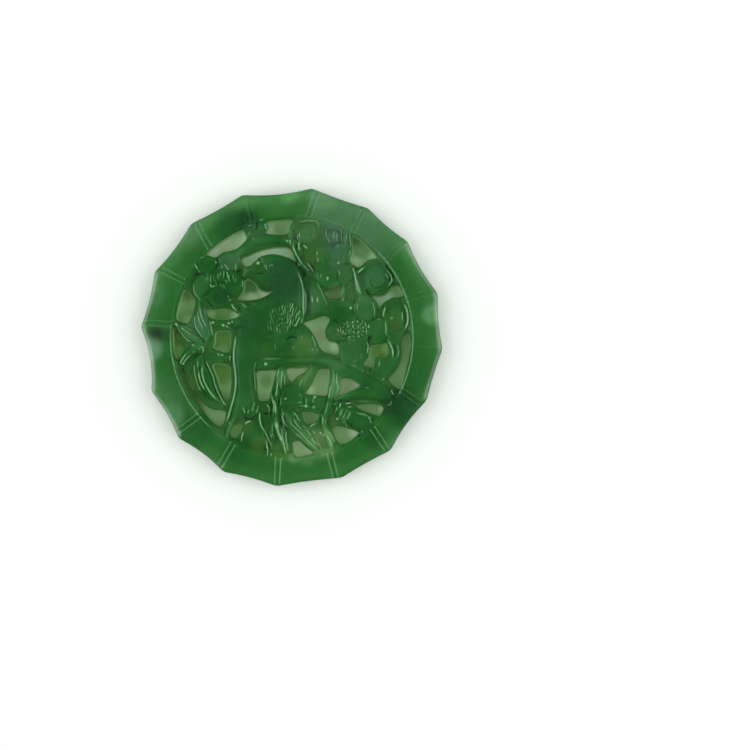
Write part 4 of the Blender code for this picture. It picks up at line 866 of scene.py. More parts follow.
relief += LINE_RISE * fine_line
face = np.where(stone > -OVERHANG, relief, GROUND)
bend = face - blurred(face, CREASE_WIDTH)
# Painted shade in creases and painted highlight on edges that stand clear, noted in ridge.
ridge += np.where(on_stem, 0, CREASE_LOOK * np.where(bend > 0, CLEAR_LOOK, 1) * bend)
# The fine line and the threads add their painted highlight, and the threads' hollows painted shade.
ridge = np.clip(ridge + fine_line + np.where(on_stem, threads(heading, REACH)[1], 0), -1, 1)
relief += WAVE * sum(share * np.sin(along_x * X + along_y * Y + start)
                     for along_x, along_y, start, share in WAVES)
relief = np.minimum(relief, SLICE_TOP)


# =============================================================== carved stone
# The whole pendant as one closed skin: the gridded face, the walls of the
# openings, the round rim and the flat back, stitched along shared points.
MM = 0.001                # metres
SHOULDER = 0.42           # radius of the rounded edge round each opening
SNAP = 0.35               # grid points this near an edge, in steps, are moved onto it
LEAST_SLOPE = 0.5         # of the plan, where two edges are equally near and it has a fold
WALL_LEVELS = ((0.62, 0.12), (0.30, 0.20))   # share of the height, and how far it bulges
INNER_CUTS, OUTER_CUTS = 6, 20    # facets over the stem: inside its crest, and on to the back
LEAVE_HOLES = 2           # the triangulation's mode that fills faces but not holes
WELD = 1e-7               # points nearer than this would be joined by it
SHARPEST = 55             # degrees between two faces that still look smooth

plan = np.minimum(stone, PLATE_RADIUS - REACH)
slope_x, slope_y = np.gradient(plan, GRID_STEP)
steep = np.maximum(np.hypot(slope_x, slope_y), LEAST_SLOPE)
slope_x, slope_y = slope_x / steep, slope_y / steep


def read_off(field, x, y):
    """A grid's value between its points, in proportion to the nearness of each."""
    u, v = (x - side[0]) / GRID_STEP, (y - side[0]) / GRID_STEP
    i, j = np.floor(u).astype(int), np.floor(v).astype(int)
    u, v = u - i, v - j
    return ((field[i, j] * (1 - u) + field[i + 1, j] * u) * (1 - v)
            + (field[i, j + 1] * (1 - u) + field[i + 1, j + 1] * u) * v)


def trimmed_grid():
    """The grid's triangles where plan > 0, cut along the line plan = 0, which crosses
    a side in proportion to the plan at its two ends.  Points close to the line are
    first moved onto it, so that no sliver is left."""
    value, x, y = plan.copy(), X.copy(), Y.copy()
    close = np.abs(value) < SNAP * GRID_STEP
    x[close] -= (value * slope_x)[close]
    y[close] -= (value * slope_y)[close]
    value[close] = 0.0
    x, y, value = x.ravel(), y.ravel(), value.ravel()

    number = np.arange(X.size).reshape(X.shape)
    a, b, c, d = number[:-1, :-1], number[1:, :-1], number[1:, 1:], number[:-1, 1:]
    corners = np.concatenate([np.stack([a, b, c], -1).reshape(-1, 3),
                              np.stack([a, c, d], -1).reshape(-1, 3)])
    corners = corners[(value[corners] > 0).any(axis=1)]
    whole = (value[corners] >= 0).all(axis=1)
    crossed = corners[~whole]
    sign = np.sign(value[crossed])
    ups, downs = (sign > 0).sum(axis=1), (sign < 0).sum(axis=1)

    def started(chosen, first_corner):
        """Some of the crossed triangles, each started at one kind of corner."""
        order = (first_corner(sign[chosen], axis=1)[:, None] + np.arange(3)) % 3
        return np.take_along_axis(crossed[chosen], order, axis=1)

    # Triangles with one corner in the stone, with two, and with one in it, one out
    # and one on the line.  Each of their sides that crosses gets a new point.
    one = started((ups == 1) & (downs == 2), np.argmax)
    two = started(ups == 2, np.argmin)
    on_line = started((ups == 1) & (downs == 1), np.argmax)
    last_out = value[on_line[:, 2]] < 0
    inner = np.concatenate([one[:, 0], one[:, 0], two[:, 1], two[:, 2], on_line[:, 0]])
    outer = np.concatenate([one[:, 1], one[:, 2], two[:, 0], two[:, 0],
                            np.where(last_out, on_line[:, 2], on_line[:, 1])])
    (inner, outer), new = np.unique(np.stack([inner, outer]), axis=1, return_inverse=True)
    share = value[inner] / (value[inner] - value[outer])
    x = np.concatenate([x, x[inner] + share * (x[outer] - x[inner])])
    y = np.concatenate([y, y[inner] + share * (y[outer] - y[inner])])

    one_b, one_c, two_b, two_c, line_b = np.split(
        new.ravel() + X.size, np.cumsum([len(one), len(one), len(two), len(two)]))
    faces = np.concatenate([corners[whole],
                            np.stack([one[:, 0], one_b, one_c], 1),
                            np.stack([two_b, two[:, 1], two[:, 2]], 1),
                            np.stack([two_b, two[:, 2], two_c], 1),
                            np.where(last_out[:, None],
                                     np.stack([on_line[:, 0], on_line[:, 1], line_b], 1),
                                     np.stack([on_line[:, 0], line_b, on_line[:, 2]], 1))])
    used, faces = np.unique(faces, return_inverse=True)
    return x[used], y[used], faces.reshape(-1, 3)


x, y, face_faces = trimmed_grid()

# The border of the face: directed sides that no other triangle shares.
sides = np.concatenate([face_faces[:, [0, 1]], face_faces[:, [1, 2]], face_faces[:, [2, 0]]])
there, back = sides[:, 0] * len(x) + sides[:, 1], sides[:, 1] * len(x) + sides[:, 0]
border = sides[~np.isin(there, back)]
border_points = np.unique(border)
meets_rim = np.hypot(x, y) > PLATE_RADIUS - GRID_STEP
ring = border_points[meets_rim[border_points]]
walls = border_points[~meets_rim[border_points]]

depth = np.clip(read_off(plan, x, y), 0, None)
depth[border_points] = 0.0
inset = np.clip(1 - depth / SHOULDER, 0, 1)
z = read_off(relief, x, y) - np.where(meets_rim, 0, SHOULDER * (1 - np.sqrt(1 - inset ** 2)))
z[ring] = rim_height(x[ring], y[ring])
points = [np.stack([x, y, z], 1)]
looks = [np.stack([read_off(ridge, x, y), np.zeros(len(x))], 1)]      # raised, sawn


def add_row(row_x, row_y, row_z, raised=0.0, sawn=0.0):
    """Appends a row of points with their looks and returns their numbers."""
    first, plain = sum(len(row) for row in points), np.zeros(len(row_x))
    points.append(np.stack([row_x, row_y, row_z], 1))
    looks.append(np.stack([plain + raised, plain + sawn], 1))
    return np.arange(first, first + len(row_x))


def under(face_points, row_points):
    """A lookup from the points of the face to the row points that hang under them."""
    lookup = np.zeros(len(x), dtype=int)
    lookup[face_points] = row_points
    return lookup


def skirt(edges, rows):
    """Quads, as triangle pairs, hung from directed edges of the face down through
    rows of points, each given as a lookup."""
    made = []
    for upper, lower in zip(rows[:-1], rows[1:]):
        a, b = upper[edges[:, 0]], upper[edges[:, 1]]
        c, d = lower[edges[:, 0]], lower[edges[:, 1]]
        made += [np.stack([b, a, c], 1), np.stack([b, c, d], 1)]
    return np.concatenate(made)


# Walls of the openings, which bulge a little into them.
out_x, out_y = -read_off(slope_x, x[walls], y[walls]), -read_off(slope_y, x[walls], y[walls])
wall_rows = [under(walls, walls)]
for level, bulge in WALL_LEVELS:
    row = add_row(x[walls] + out_x * bulge, y[walls] + out_y * bulge, z[walls] * level, 0, 1)
    wall_rows.append(under(walls, row))
wall_foot = add_row(x[walls], y[walls], np.zeros(len(walls)), 0, 1)
wall_rows.append(under(walls, wall_foot))
wall_edges = border[~meets_rim[border[:, 0]]]

# The stem: over its crest by its own height, then round its outer line by a
# superellipse and under to the flat back.
turn = np.degrees(np.arctan2(y[ring], x[ring]))
cos_t, sin_t = np.cos(np.radians(turn)), np.sin(np.radians(turn))
middle, half, rise = rim_section(turn)
already = (middle - np.hypot(x[ring], y[ring])) / half    # how far in from its crest, 0 to 1
stem_rows = [under(ring, ring)]
for step in range(1, INNER_CUTS + 1):
    reach = middle - half * already * (1 - step / INNER_CUTS)
    height = rim_height(reach * cos_t, reach * sin_t)
    row = add_row(reach * cos_t, reach * sin_t, height, threads(turn, reach)[1])
    stem_rows.append(under(ring, row))
for step in range(1, OUTER_CUTS):
    angle = math.pi * step / OUTER_CUTS
    across, up = math.sin(angle), math.cos(angle)
    bulge = (across ** RIM_FULLNESS + abs(up) ** RIM_FULLNESS) ** (1 / RIM_FULLNESS)
    reach = middle + half * across / bulge
    extra, look = threads(turn, reach)
    lift = rise + extra if up > 0 else np.full(len(ring), RIM_MIDDLE)
    row = add_row(reach * cos_t, reach * sin_t, RIM_MIDDLE + lift * up / bulge, look)
    stem_rows.append(under(ring, row))
stem_foot = add_row(middle * cos_t, middle * sin_t, np.zeros(len(ring)))
stem_rows.append(under(ring, stem_foot))
stem_edges = border[meets_rim[border[:, 0]]]


def closed_loops(edges):
    """Directed edges strung end to end into closed loops of points."""
    after = dict(edges.tolist())
    loops = []
    while after:
        start, here = after.popitem()
        loops.append([start])
        while here != start:
            loops[-1].append(here)
            here = after.pop(here)
    return loops


# The flat back, filled between the foot of the stem and those of the walls.
points = np.concatenate(points)
flat = np.concatenate([wall_foot, stem_foot])
flat_number = np.zeros(len(points), dtype=int)
flat_number[flat] = np.arange(len(flat))
loops = closed_loops(np.concatenate([flat_number[wall_rows[-1]][wall_edges],
                                     flat_number[stem_rows[-1]][stem_edges]]))
filled = delaunay_2d_cdt(points[flat, :2].tolist(), [], loops, LEAVE_HOLES, WELD)
came_from = np.array([origin[0] for origin in filled[3]])
back_faces = flat[came_from[np.array(filled[2])]][:, ::-1]

mesh = bpy.data.meshes.new("carved_jade")
faces = np.concatenate([face_faces, skirt(wall_edges, wall_rows), skirt(stem_edges, stem_rows),
                        back_faces])
mesh.from_pydata((points * MM).tolist(), [], faces.tolist())
mesh.update()
for name, column in zip(("raised", "sawn"), np.concatenate(looks).T):
    mesh.attributes.new(name, "FLOAT", "POINT").data.foreach_set("value", column)
mesh.shade_smooth()
mesh.set_sharp_from_angle(angle=math.radians(SHARPEST))
pendant = bpy.data.objects.new("carved_jade", mesh)
bpy.context.scene.collection.objects.link(pendant)


# ------------------------------------------------------------------- finish
# Polished nephrite: a deep green, clouded paler and darker, with a few smoky patches. Painted light
# is laid over it: olive where light comes through the thin parts, highlights along its sharp edges
# and raised lines, shade in its creases and engraved lines, and a paler green on the sawn walls of
# the openings, which are left unpolished, partly their own face and partly a painted glow.
DEEP_GREEN = (0.005, 0.098, 0.008)
CLOUD_GREEN = (0.026, 0.150, 0.031)
# The rim's green is partly its own tone and partly painted light; its pale outer line is a painted
# sheen.
RIM_GREEN = (0.033, 0.178, 0.034)
RIM_SHEEN = (0.13, 0.33, 0.13)
THIN_LIGHT_OLIVE = (0.040, 0.135, 0.020)
EDGE_HIGHLIGHT = (0.27, 0.48, 0.27)
SAWN_GLOW_GREEN = (0.33, 0.64, 0.25)
LIT_OLIVE = (0.085, 0.21, 0.05)
CREASE_SHADE = (0.012, 0.03, 0.018)
CLOUD_SIZE, FLECK_SIZE = 0.006, 0.0008  # metres
CLOUD_DETAIL, FLECK_DETAIL, NOISE_ROUGHNESS = 3.0, 2.0, 0.55
SAWN_ROUGHNESS = 0.85
NEPHRITE_IOR = 1.61
SHINE_THROUGH, SHINE_DEPTH = (0.35, 1.0, 0.3), 0.002      # how far each colour strays, metres
# How much of a layer shows goes smoothly from one share to another: where the
# first holds, where the second does, and the two shares.
CLOUD_COVER = (0.35, 0.68, 0.0, 0.9)    # by the clouds' noise
PATCH_COVER = (0.2, 0.6, 0.55, 1.0)     # by the same noise, in the patches
FLECK_COVER = (0.3, 0.75, 0.0, 0.25)    # by the flecks' noise
EDGE_COVER = (0.05, 1.0, 0.0, 0.75)     # by how raised a place is, the painted highlight
CREASE_COVER = (-0.9, -0.1, 0.42, 0.0)  # by the same, the painted shade
EDGE_POLISH = (0.1, 0.8, 1.0, 0.5)      # by the same, what its roughness is multiplied by
RIM_COVER = (-1.0, 1.0, 0.0, 0.55)      # by millimetres outward from the rim's inner edge
RIM_POLISH = (-1.0, 0.0, 0.42, 0.28)    # by the same, the roughness of the carving and the rim
OUTER_COVER = (2.0, 4.6, 0.0, 1.0)      # by the same, where the rim's painted sheen lies
CARVED_PART = (0.0, 0.5, 1.0, 0.0)      # by the same, all that lies inside the rim
TOP_COVER = (2.0, 20.0, 0.15, 0.6)      # by millimetres towards the top of the pendant, how strongly that sheen is painted
THIN_COVER = (2.8, 3.9, 0.75, 0.0)      # by millimetres of height, where light through the thin stone is painted olive
LIT_COVER = (2.2, 3.1, 0.8, 0.0)        # by the same, where light coming up through it is painted paler
# Places of paler or darker colour: x, y and radius in millimetres, colour, strength. Most are the
# stone's own clouding; the palest ones on the rim's outer edge at the left and right are painted
# highlights, and the olive ones inside are painted light coming up through the stone. First the
# rim, clockwise from the top, then what lies inside it.
PATCH_HEIGHT = 4.0        # of their middles above the back
PATCH_CORE = 0.35         # share of the radius within which a patch has its full strength
TONE_AND_LIGHT_PATCHES = (
    (9.0, 22.0, 9.5, (0.100, 0.235, 0.115), 0.75),
    (5.2, 23.6, 3.2, (0.160, 0.340, 0.170), 0.60),
    (15.0, 16.5, 5.5, (0.085, 0.210, 0.105), 0.60),
    (24.3, 4.0, 2.6, (0.200, 0.420, 0.210), 0.60),
    (22.0, -6.2, 4.5, (0.014, 0.125, 0.018), 0.70),
    (18.8, -11.6, 5.0, (0.005, 0.045, 0.012), 0.85),
    (19.6, -14.8, 2.4, (0.008, 0.070, 0.014), 0.60),
    (14.2, -17.4, 3.0, (0.006, 0.075, 0.012), 0.75),
    (2.6, -20.8, 2.2, (0.120, 0.290, 0.110), 0.60),
    (-9.8, -20.4, 3.2, (0.008, 0.095, 0.014), 0.70),
    (-16.6, -15.8, 4.6, (0.012, 0.105, 0.018), 0.70),
    (-20.6, -13.4, 3.0, (0.150, 0.330, 0.180), 0.60),
    (-22.0, -11.0, 5.0, (0.090, 0.220, 0.090), 0.50),
    (-23.4, 0.6, 2.3, (0.022, 0.030, 0.024), 0.85),
    (-21.3, 0.4, 1.7, (0.008, 0.070, 0.010), 0.70),
    (-24.3, -2.0, 2.8, (0.260, 0.440, 0.290), 0.65),
    (-23.7, 7.2, 2.8, (0.100, 0.260, 0.110), 0.50),
    (-18.0, 18.2, 4.0, (0.120, 0.250, 0.120), 0.50),
    (-10.2, 19.2, 4.2, (0.008, 0.080, 0.020), 0.75),
    (-7.6, 20.4, 2.8, (0.006, 0.045, 0.014), 0.85),
    (-2.5, 24.2, 4.0, (0.055, 0.240, 0.055), 0.60),
    (-0.4, 24.8, 2.6, (0.170, 0.420, 0.170), 0.60),
    (1.6, 22.4, 2.6, (0.055, 0.180, 0.040), 0.50),
    (-6.8, 18.4, 2.2, (0.055, 0.175, 0.080), 0.60),
    (-10.6, 13.6, 3.2, (0.060, 0.185, 0.070), 0.60),
    (-12.2, 7.0, 2.0, (0.004, 0.045, 0.018), 0.70),
    (-7.5, 12.0, 2.4, (0.070, 0.150, 0.045), 0.45),
    (-1.0, 9.8, 5.8, (0.006, 0.056, 0.018), 0.75),
    (-6.8, 2.4, 3.8, (0.016, 0.078, 0.026), 0.50),
    (-16.8, 1.2, 3.6, (0.065, 0.200, 0.085), 0.60),
    (-15.8, 3.6, 2.2, (0.070, 0.190, 0.110), 0.50),
    (-17.5, -8.0, 2.6, (0.080, 0.170, 0.030), 0.60),
    (-12.9, -11.5, 2.0, (0.055, 0.200, 0.055), 0.60),
    (-16.6, -11.6, 2.0, (0.085, 0.220, 0.065), 0.65),
    (-11.8, -16.0, 2.2, (0.070, 0.200, 0.060), 0.65),
    (-8.0, -7.0, 4.6, (0.006, 0.100, 0.012), 0.75),
    (-8.8, -15.4, 2.6, (0.085, 0.220, 0.055), 0.65),
    (-5.5, -18.8, 2.4, (0.080, 0.180, 0.030), 0.60),
    (-2.0, -19.8, 2.6, (0.110, 0.270, 0.050), 0.65),
    (0.4, -20.8, 1.6, (0.170, 0.360, 0.140), 0.60),
    (-1.4, -14.6, 2.0, (0.075, 0.190, 0.085), 0.55),
    (-1.7, -6.8, 1.9, (0.120, 0.320, 0.105), 0.60),
    (-4.2, -2.6, 2.2, (0.050, 0.170, 0.025), 0.45),
    (2.2, -1.8, 3.2, (0.095, 0.230, 0.055), 0.60),
    (1.0, -4.0, 3.4, (0.028, 0.130, 0.014), 0.45),
    (2.6, -6.8, 2.6, (0.110, 0.260, 0.085), 0.70),
    (0.0, -17.0, 3.0, (0.050, 0.150, 0.050), 0.50),
    (2.8, -16.6, 2.2, (0.100, 0.240, 0.085), 0.60),
    (5.5, -18.3, 3.6, (0.175, 0.370, 0.125), 0.75),
    (7.5, -14.6, 1.8, (0.080, 0.170, 0.030), 0.60),
    (7.5, -8.6, 2.6, (0.140, 0.300, 0.120), 0.65),
    (7.4, -4.0, 2.6, (0.070, 0.190, 0.070), 0.60),
    (10.0, -2.2, 3.0, (0.045, 0.160, 0.055), 0.50),
    (7.4, 0.8, 1.9, (0.065, 0.170, 0.065), 0.60),
    (18.0, 2.6, 2.6, (0.055, 0.160, 0.020), 0.60),
    (12.8, 5.4, 2.8, (0.045, 0.180, 0.060), 0.55),
    (10.6, 8.2, 4.4, (0.080, 0.210, 0.080), 0.60),
    (14.6, 10.8, 3.6, (0.045, 0.175, 0.070), 0.60),
    (8.6, 12.8, 2.8, (0.070, 0.180, 0.080), 0.65),
    (7.4, 7.8, 2.0, (0.080, 0.160, 0.030), 0.60),
    (3.2, 6.4, 3.0, (0.080, 0.195, 0.095), 0.60),
    (3.2, 11.8, 1.7, (0.020, 0.040, 0.024), 0.50),
    (3.4, 14.6, 2.8, (0.065, 0.180, 0.030), 0.65),
    (7.6, 16.8, 3.2, (0.060, 0.130, 0.100), 0.60),
    (0.4, 16.6, 2.8, (0.075, 0.200, 0.075), 0.60),
    (-0.4, 18.9, 2.2, (0.080, 0.210, 0.075), 0.60),
    (2.6, 18.8, 3.2, (0.080, 0.205, 0.070), 0.60))


def feed(node, given):
    """Links each named input of a node to a socket, or sets it to a plain value."""
    for name, value in given.items():
        if isinstance(value, bpy.types.NodeSocket):
            node.id_data.links.new(value, node.inputs[name])
        else:
            node.inputs[name].default_value = value


def node(tree, kind, given, **settings):
    """A new node, set and fed."""
    made = tree.nodes.new(kind)
    for name, value in settings.items():
        setattr(made, name, value)
    feed(made, given)
    return made


def blend(below, share, colour):
    """A colour laid over a socket or another colour, by a share from 0 to 1.  A mix
    node takes its two colours by sockets 6 and 7 and gives its own by socket 2."""
    under_it = (*below, 1) if isinstance(below, tuple) else below
    return node(share.id_data, "ShaderNodeMix", {"Factor": share, 6: under_it, 7: (*colour, 1)},
                data_type="RGBA").outputs[2]


def remap(value, low, high, at_low, at_high):
    """A smooth step from one number to another as the value goes from low to high."""
    return node(value.id_data, "ShaderNodeMapRange",
                {"Value": value, "From Min": low, "From Max": high, "To Min": at_low,
                 "To Max": at_high}, interpolation_type="SMOOTHSTEP").outputs["Result"]


def by_length(value, cover, origin=0.0):
    """The same by a length, with its cover given in millimetres from an origin."""
    low, high, at_low, at_high = cover
    return remap(value, (origin + low) * MM, (origin + high) * MM, at_low, at_high)


def times(a, b):
    """The product of two sockets."""
    return node(a.id_data, "ShaderNodeMath", {0: a, 1: b}, operation="MULTIPLY").outputs[0]


def vector_math(operation, a, b):
    """The length, distance or scalar product of vectors."""
    made = node(a.id_data, "ShaderNodeVectorMath", {0: a, 1: b}, operation=operation)
    return made.outputs["Value"]


def jade():
    """Each layer mixes a colour over the last, by noise, height, place or attribute."""
    material = bpy.data.materials.new("polished_jade")
    material.use_nodes = True
    tree = material.node_tree
    place = tree.nodes.new("ShaderNodeTexCoord").outputs["Object"]
    split = node(tree, "ShaderNodeSeparateXYZ", {0: place})
    outward = vector_math("LENGTH", place, (0, 0, 0))
    raised = node(tree, "ShaderNodeAttribute", {}, attribute_name="raised").outputs["Fac"]
    sawn = node(tree, "ShaderNodeAttribute", {}, attribute_name="sawn").outputs["Fac"]

    def noise(size, detail):
        """Cloudy noise on the stone's own coordinates, with clouds of one size."""
        return node(tree, "ShaderNodeTexNoise",
                    {"Vector": place, "Scale": 1 / size, "Detail": detail,
                     "Roughness": NOISE_ROUGHNESS}).outputs["Fac"]

    clouds = noise(CLOUD_SIZE, CLOUD_DETAIL)
    colour = blend(DEEP_GREEN, remap(clouds, *CLOUD_COVER), CLOUD_GREEN)
    # The rim is paler, partly as its own tone and partly as painted light that reaches it from
    # outside. Along its outer line, most of all at the top, a painted sheen is laid on.
    colour = blend(colour, by_length(outward, RIM_COVER, RIM_INNER_RADIUS), RIM_GREEN)
    outer = by_length(outward, OUTER_COVER, RIM_INNER_RADIUS)
    colour = blend(colour, times(outer, by_length(split.outputs["Y"], TOP_COVER)), RIM_SHEEN)
    cloudy = remap(clouds, *PATCH_COVER)
    # Clouding, painted highlights and painted through-light, patch by patch.
    for patch_x, patch_y, radius, tint, strength in TONE_AND_LIGHT_PATCHES:
        away = vector_math("DISTANCE", place, (patch_x * MM, patch_y * MM, PATCH_HEIGHT * MM))
        share = by_length(away, (PATCH_CORE * radius, radius, strength, 0.0))
        colour = blend(colour, times(share, cloudy), tint)
    carved = by_length(outward, CARVED_PART, RIM_INNER_RADIUS)
    # Painted light through the thin, low parts of the carving: olive, and paler lower down.
    for cover, tint in ((THIN_COVER, THIN_LIGHT_OLIVE), (LIT_COVER, LIT_OLIVE)):
        colour = blend(colour, times(by_length(split.outputs["Z"], cover), carved), tint)
    colour = blend(colour, remap(noise(FLECK_SIZE, FLECK_DETAIL), *FLECK_COVER), CLOUD_GREEN)
    # Painted highlight along raised lines and along edges that stand clear.
    colour = blend(colour, remap(raised, *EDGE_COVER), EDGE_HIGHLIGHT)
    # Painted shade in creases and engraved lines.
    colour = blend(colour, remap(raised, *CREASE_COVER), CREASE_SHADE)
    # The sawn walls of the openings: a paler green, partly their unpolished face and partly a
    # painted glow of light through the stone.
    colour = blend(colour, sawn, SAWN_GLOW_GREEN)
    # The open rim is polished brightest, then the raised lines, then the carving.
    roughness = by_length(outward, RIM_POLISH, RIM_INNER_RADIUS)
    roughness = blend(roughness, sawn, (SAWN_ROUGHNESS,) * 3)
    feed(tree.nodes["Principled BSDF"],
         {"Base Color": colour, "Roughness": times(roughness, remap(raised, *EDGE_POLISH)),
          "IOR": NEPHRITE_IOR, "Subsurface Weight": 1.0, "Subsurface Radius": SHINE_THROUGH,
          "Subsurface Scale": SHINE_DEPTH})
    return material


mesh.materials.append(jade())
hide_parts("jade_plaque")
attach(pendant, "root")


# ====================================================================== stage
# The pendant lies on a wide sheet of plain pale paper. Under it the paper is painted with the
# colour of the light that comes down through the stone and between its walls, and painted darker as
# shade under some openings.
FLOOR_SIZE = 6.0          # metres across
PAPER_WHITE = (0.95, 1.0, 0.95)
PAPER_ROUGHNESS = 0.9
# Pools of that painted light and shade: x and y, the radius within which it is full and that at
# which it ends, in millimetres, and its colour.
PAINTED_FLOOR_POOLS = (
    (0.0, 0.0, 21.0, 24.5, (0.48, 0.71, 0.40)),
    (-15.5, -1.0, 4.5, 9.5, (0.20, 0.44, 0.13)),
    (-18.0, -8.4, 1.6, 3.6, (0.50, 1.00, 0.40)),
    (-9.6, -16.0, 1.5, 3.2, (0.62, 1.00, 0.46)),
    (-5.0, 14.8, 3.5, 6.5, (0.80, 1.00, 0.80)),
    (-7.4, 8.8, 0.8, 2.0, (0.16, 0.34, 0.14)),
    (15.4, 6.6, 1.4, 3.0, (0.74, 1.00, 0.80)),
    (9.6, -8.6, 1.6, 3.0, (0.88, 1.00, 0.66)),
    (5.2, -7.4, 0.8, 2.4, (0.44, 0.64, 0.37)),
    (0.6, -6.0, 1.6, 3.0, (0.84, 1.00, 0.68)),
    (1.8, -19.5, 1.8, 3.4, (0.82, 1.00, 0.66)),
    (15.2, -2.0, 1.0, 2.6, (0.26, 0.50, 0.15)),
    (16.4, -1.8, 0.3, 1.4, (0.46, 0.76, 0.32)),
    (12.0, 15.6, 1.0, 2.6, (0.28, 0.48, 0.24)),
    (10.8, 17.1, 0.4, 1.8, (0.18, 0.38, 0.17)),
    (14.2, 14.0, 0.3, 1.4, (0.62, 0.90, 0.58)),
    (11.2, 12.9, 0.4, 1.6, (0.70, 0.88, 0.66)),
    (-4.6, -7.6, 0.4, 1.8, (0.28, 0.47, 0.19)),
    (5.0, 0.6, 0.4, 2.0, (0.46, 0.56, 0.36)),
    (-2.2, 18.9, 0.4, 2.0, (0.38, 0.56, 0.30)),
    (-11.4, 16.2, 0.4, 2.4, (0.62, 0.74, 0.55)),
    (-14.0, 14.7, 0.5, 2.0, (0.95, 1.00, 0.90)),
    (-8.0, 17.4, 0.3, 1.4, (0.90, 1.00, 0.85)),
    (-18.4, 7.6, 0.4, 2.2, (0.25, 0.42, 0.17)),
    (-18.3, 2.9, 0.3, 1.6, (0.46, 0.78, 0.40)),
    (-14.3, 4.2, 0.3, 1.4, (0.48, 0.82, 0.38)),
    (-9.6, 3.8, 0.3, 1.7, (0.75, 1.00, 0.65)),
    (-19.9, -2.7, 0.4, 2.0, (0.42, 0.84, 0.30)),
    (-12.2, -2.9, 0.6, 2.2, (0.42, 0.66, 0.34)),
    (-12.0, -6.0, 0.8, 3.2, (0.21, 0.40, 0.11)),
    (-7.2, 6.9, 0.3, 1.5, (0.66, 0.86, 0.58)),
    (-4.4, 7.8, 0.3, 1.8, (0.95, 1.00, 0.90)),
    (2.5, 2.7, 0.3, 1.6, (0.62, 0.80, 0.54)),
    (7.4, -1.6, 0.4, 1.4, (0.80, 1.00, 0.75)),
    (2.8, -9.4, 0.4, 1.6, (0.80, 1.00, 0.70)),
    (8.0, -10.1, 0.4, 1.6, (0.95, 1.00, 0.85)),
    (11.4, -8.3, 0.4, 1.7, (1.00, 1.00, 0.90)),
    (11.0, -16.4, 0.4, 1.8, (0.95, 1.00, 0.88)),
    (3.6, -20.0, 0.4, 1.8, (0.95, 1.00, 0.85)),
    (13.2, -4.6, 0.4, 1.6, (0.62, 0.90, 0.55)),
    (16.0, -12.4, 0.4, 1.5, (0.80, 1.00, 0.70)))
corner = FLOOR_SIZE / 2
floor_mesh = bpy.data.meshes.new("floor")
floor_mesh.from_pydata([(-corner, -corner, 0), (corner, -corner, 0), (corner, corner, 0),
                        (-corner, corner, 0)], [], [(0, 1, 2, 3)])
floor = bpy.data.objects.new("floor", floor_mesh)
bpy.context.scene.collection.objects.link(floor)
paper = bpy.data.materials.new("paper")
paper.use_nodes = True
floor_place = paper.node_tree.nodes.new("ShaderNodeTexCoord").outputs["Object"]
paper_colour = PAPER_WHITE
for pool_x, pool_y, full, end, tint in PAINTED_FLOOR_POOLS:
    away = vector_math("DISTANCE", floor_place, (pool_x * MM, pool_y * MM, 0))
    paper_colour = blend(paper_colour, by_length(away, (full, end, 1.0, 0.0)), tint)
feed(paper.node_tree.nodes["Principled BSDF"],
     {"Base Color": paper_colour, "Roughness": PAPER_ROUGHNESS})
floor_mesh.materials.append(paper)
floor.visible_glossy = False   # the rim mirrors the room, not the bright paper


# ====================================================================== light
# Two broad soft boxes light the jade from the left and the right, in an evenly
# pale tent.  The polish mirrors only a dim room and a soft glow just below the
# horizon on each side, which nothing but its outer edges can catch.
SOFT_BOXES = (("left_box", (-0.6, 0.0, 0.55), 2.3),      # place in metres, power in watts
              ("right_box", (0.6, 0.0, 0.50), 2.1))
BOX_SIZE = 0.8            # metres across
TENT, ROOM_MIRRORED = 0.73, 0.02
DIM_FROM, DARK_FROM = 0.62, 0.86  # the sine of the height at which the mirrored room goes dark
GLOWS = (((-0.95, -0.08, -0.32), 2.3), ((0.95, 0.12, -0.32), 2.0))   # direction, strength
GLOW_EDGE = 0.74          # cosine of the angle from its middle at which a glow ends

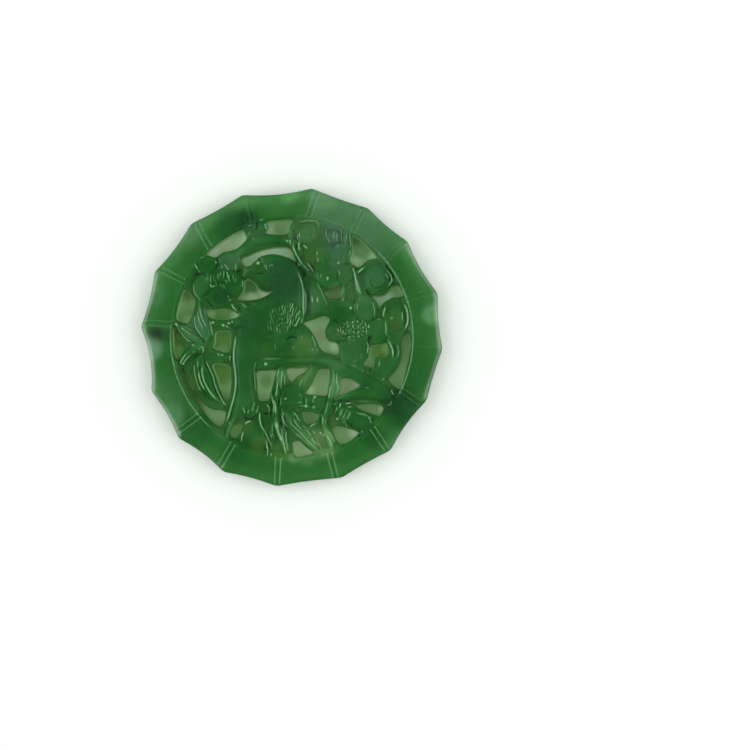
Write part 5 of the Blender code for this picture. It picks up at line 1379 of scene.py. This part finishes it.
for name, place, power in SOFT_BOXES:
    lamp = bpy.data.lights.new(name, "AREA")
    lamp.shape = "RECTANGLE"
    lamp.size, lamp.size_y, lamp.energy = BOX_SIZE, BOX_SIZE, power
    holder = bpy.data.objects.new(name, lamp)
    holder.location = place
    holder.rotation_euler = (-Vector(place)).to_track_quat("-Z", "Y").to_euler()
    holder.visible_glossy = False
    bpy.context.scene.collection.objects.link(holder)

world = bpy.data.worlds.new("tent")
bpy.context.scene.world = world
world.use_nodes = True
sky = world.node_tree
where = sky.nodes.new("ShaderNodeTexCoord").outputs["Generated"]
upward = node(sky, "ShaderNodeSeparateXYZ", {0: where}).outputs["Z"]
mirrored = remap(upward, DIM_FROM, DARK_FROM, ROOM_MIRRORED, 0.0)
for direction, strength in GLOWS:
    facing = vector_math("DOT_PRODUCT", where, Vector(direction).normalized())
    glow = remap(facing, GLOW_EDGE, 1.0, 0.0, strength)
    mirrored = node(sky, "ShaderNodeMath", {0: mirrored, 1: glow}, operation="ADD").outputs[0]
is_mirror = sky.nodes.new("ShaderNodeLightPath").outputs["Is Glossy Ray"]
seen = node(sky, "ShaderNodeMix", {"Factor": is_mirror, "A": TENT, "B": mirrored})
feed(sky.nodes["Background"], {"Color": (1, 1, 1, 1), "Strength": seen.outputs["Result"]})
bpy.context.scene.view_settings.view_transform = "Standard"


# ===================================================================== camera
# The camera looks straight down at the pendant, which lies to the upper left of
# the middle, through a long lens, so that hardly any of the outer wall shows.
VIEW_WIDTH = 130.3        # millimetres of floor from side to side of the view
VIEW_MIDDLE = (14.4, -6.5)
VIEW_DISTANCE = 400.0
SENSOR_WIDTH = 36.0
NEAREST_SEEN = 0.01       # metres
camera_data = bpy.data.cameras.new("camera")
camera_data.sensor_width = SENSOR_WIDTH
camera_data.lens = SENSOR_WIDTH * VIEW_DISTANCE / VIEW_WIDTH
camera_data.clip_start = NEAREST_SEEN
camera = bpy.data.objects.new("camera", camera_data)
camera.location = (VIEW_MIDDLE[0] * MM, VIEW_MIDDLE[1] * MM, (VIEW_DISTANCE + RIM_MIDDLE) * MM)
bpy.context.scene.collection.objects.link(camera)
bpy.context.scene.camera = camera
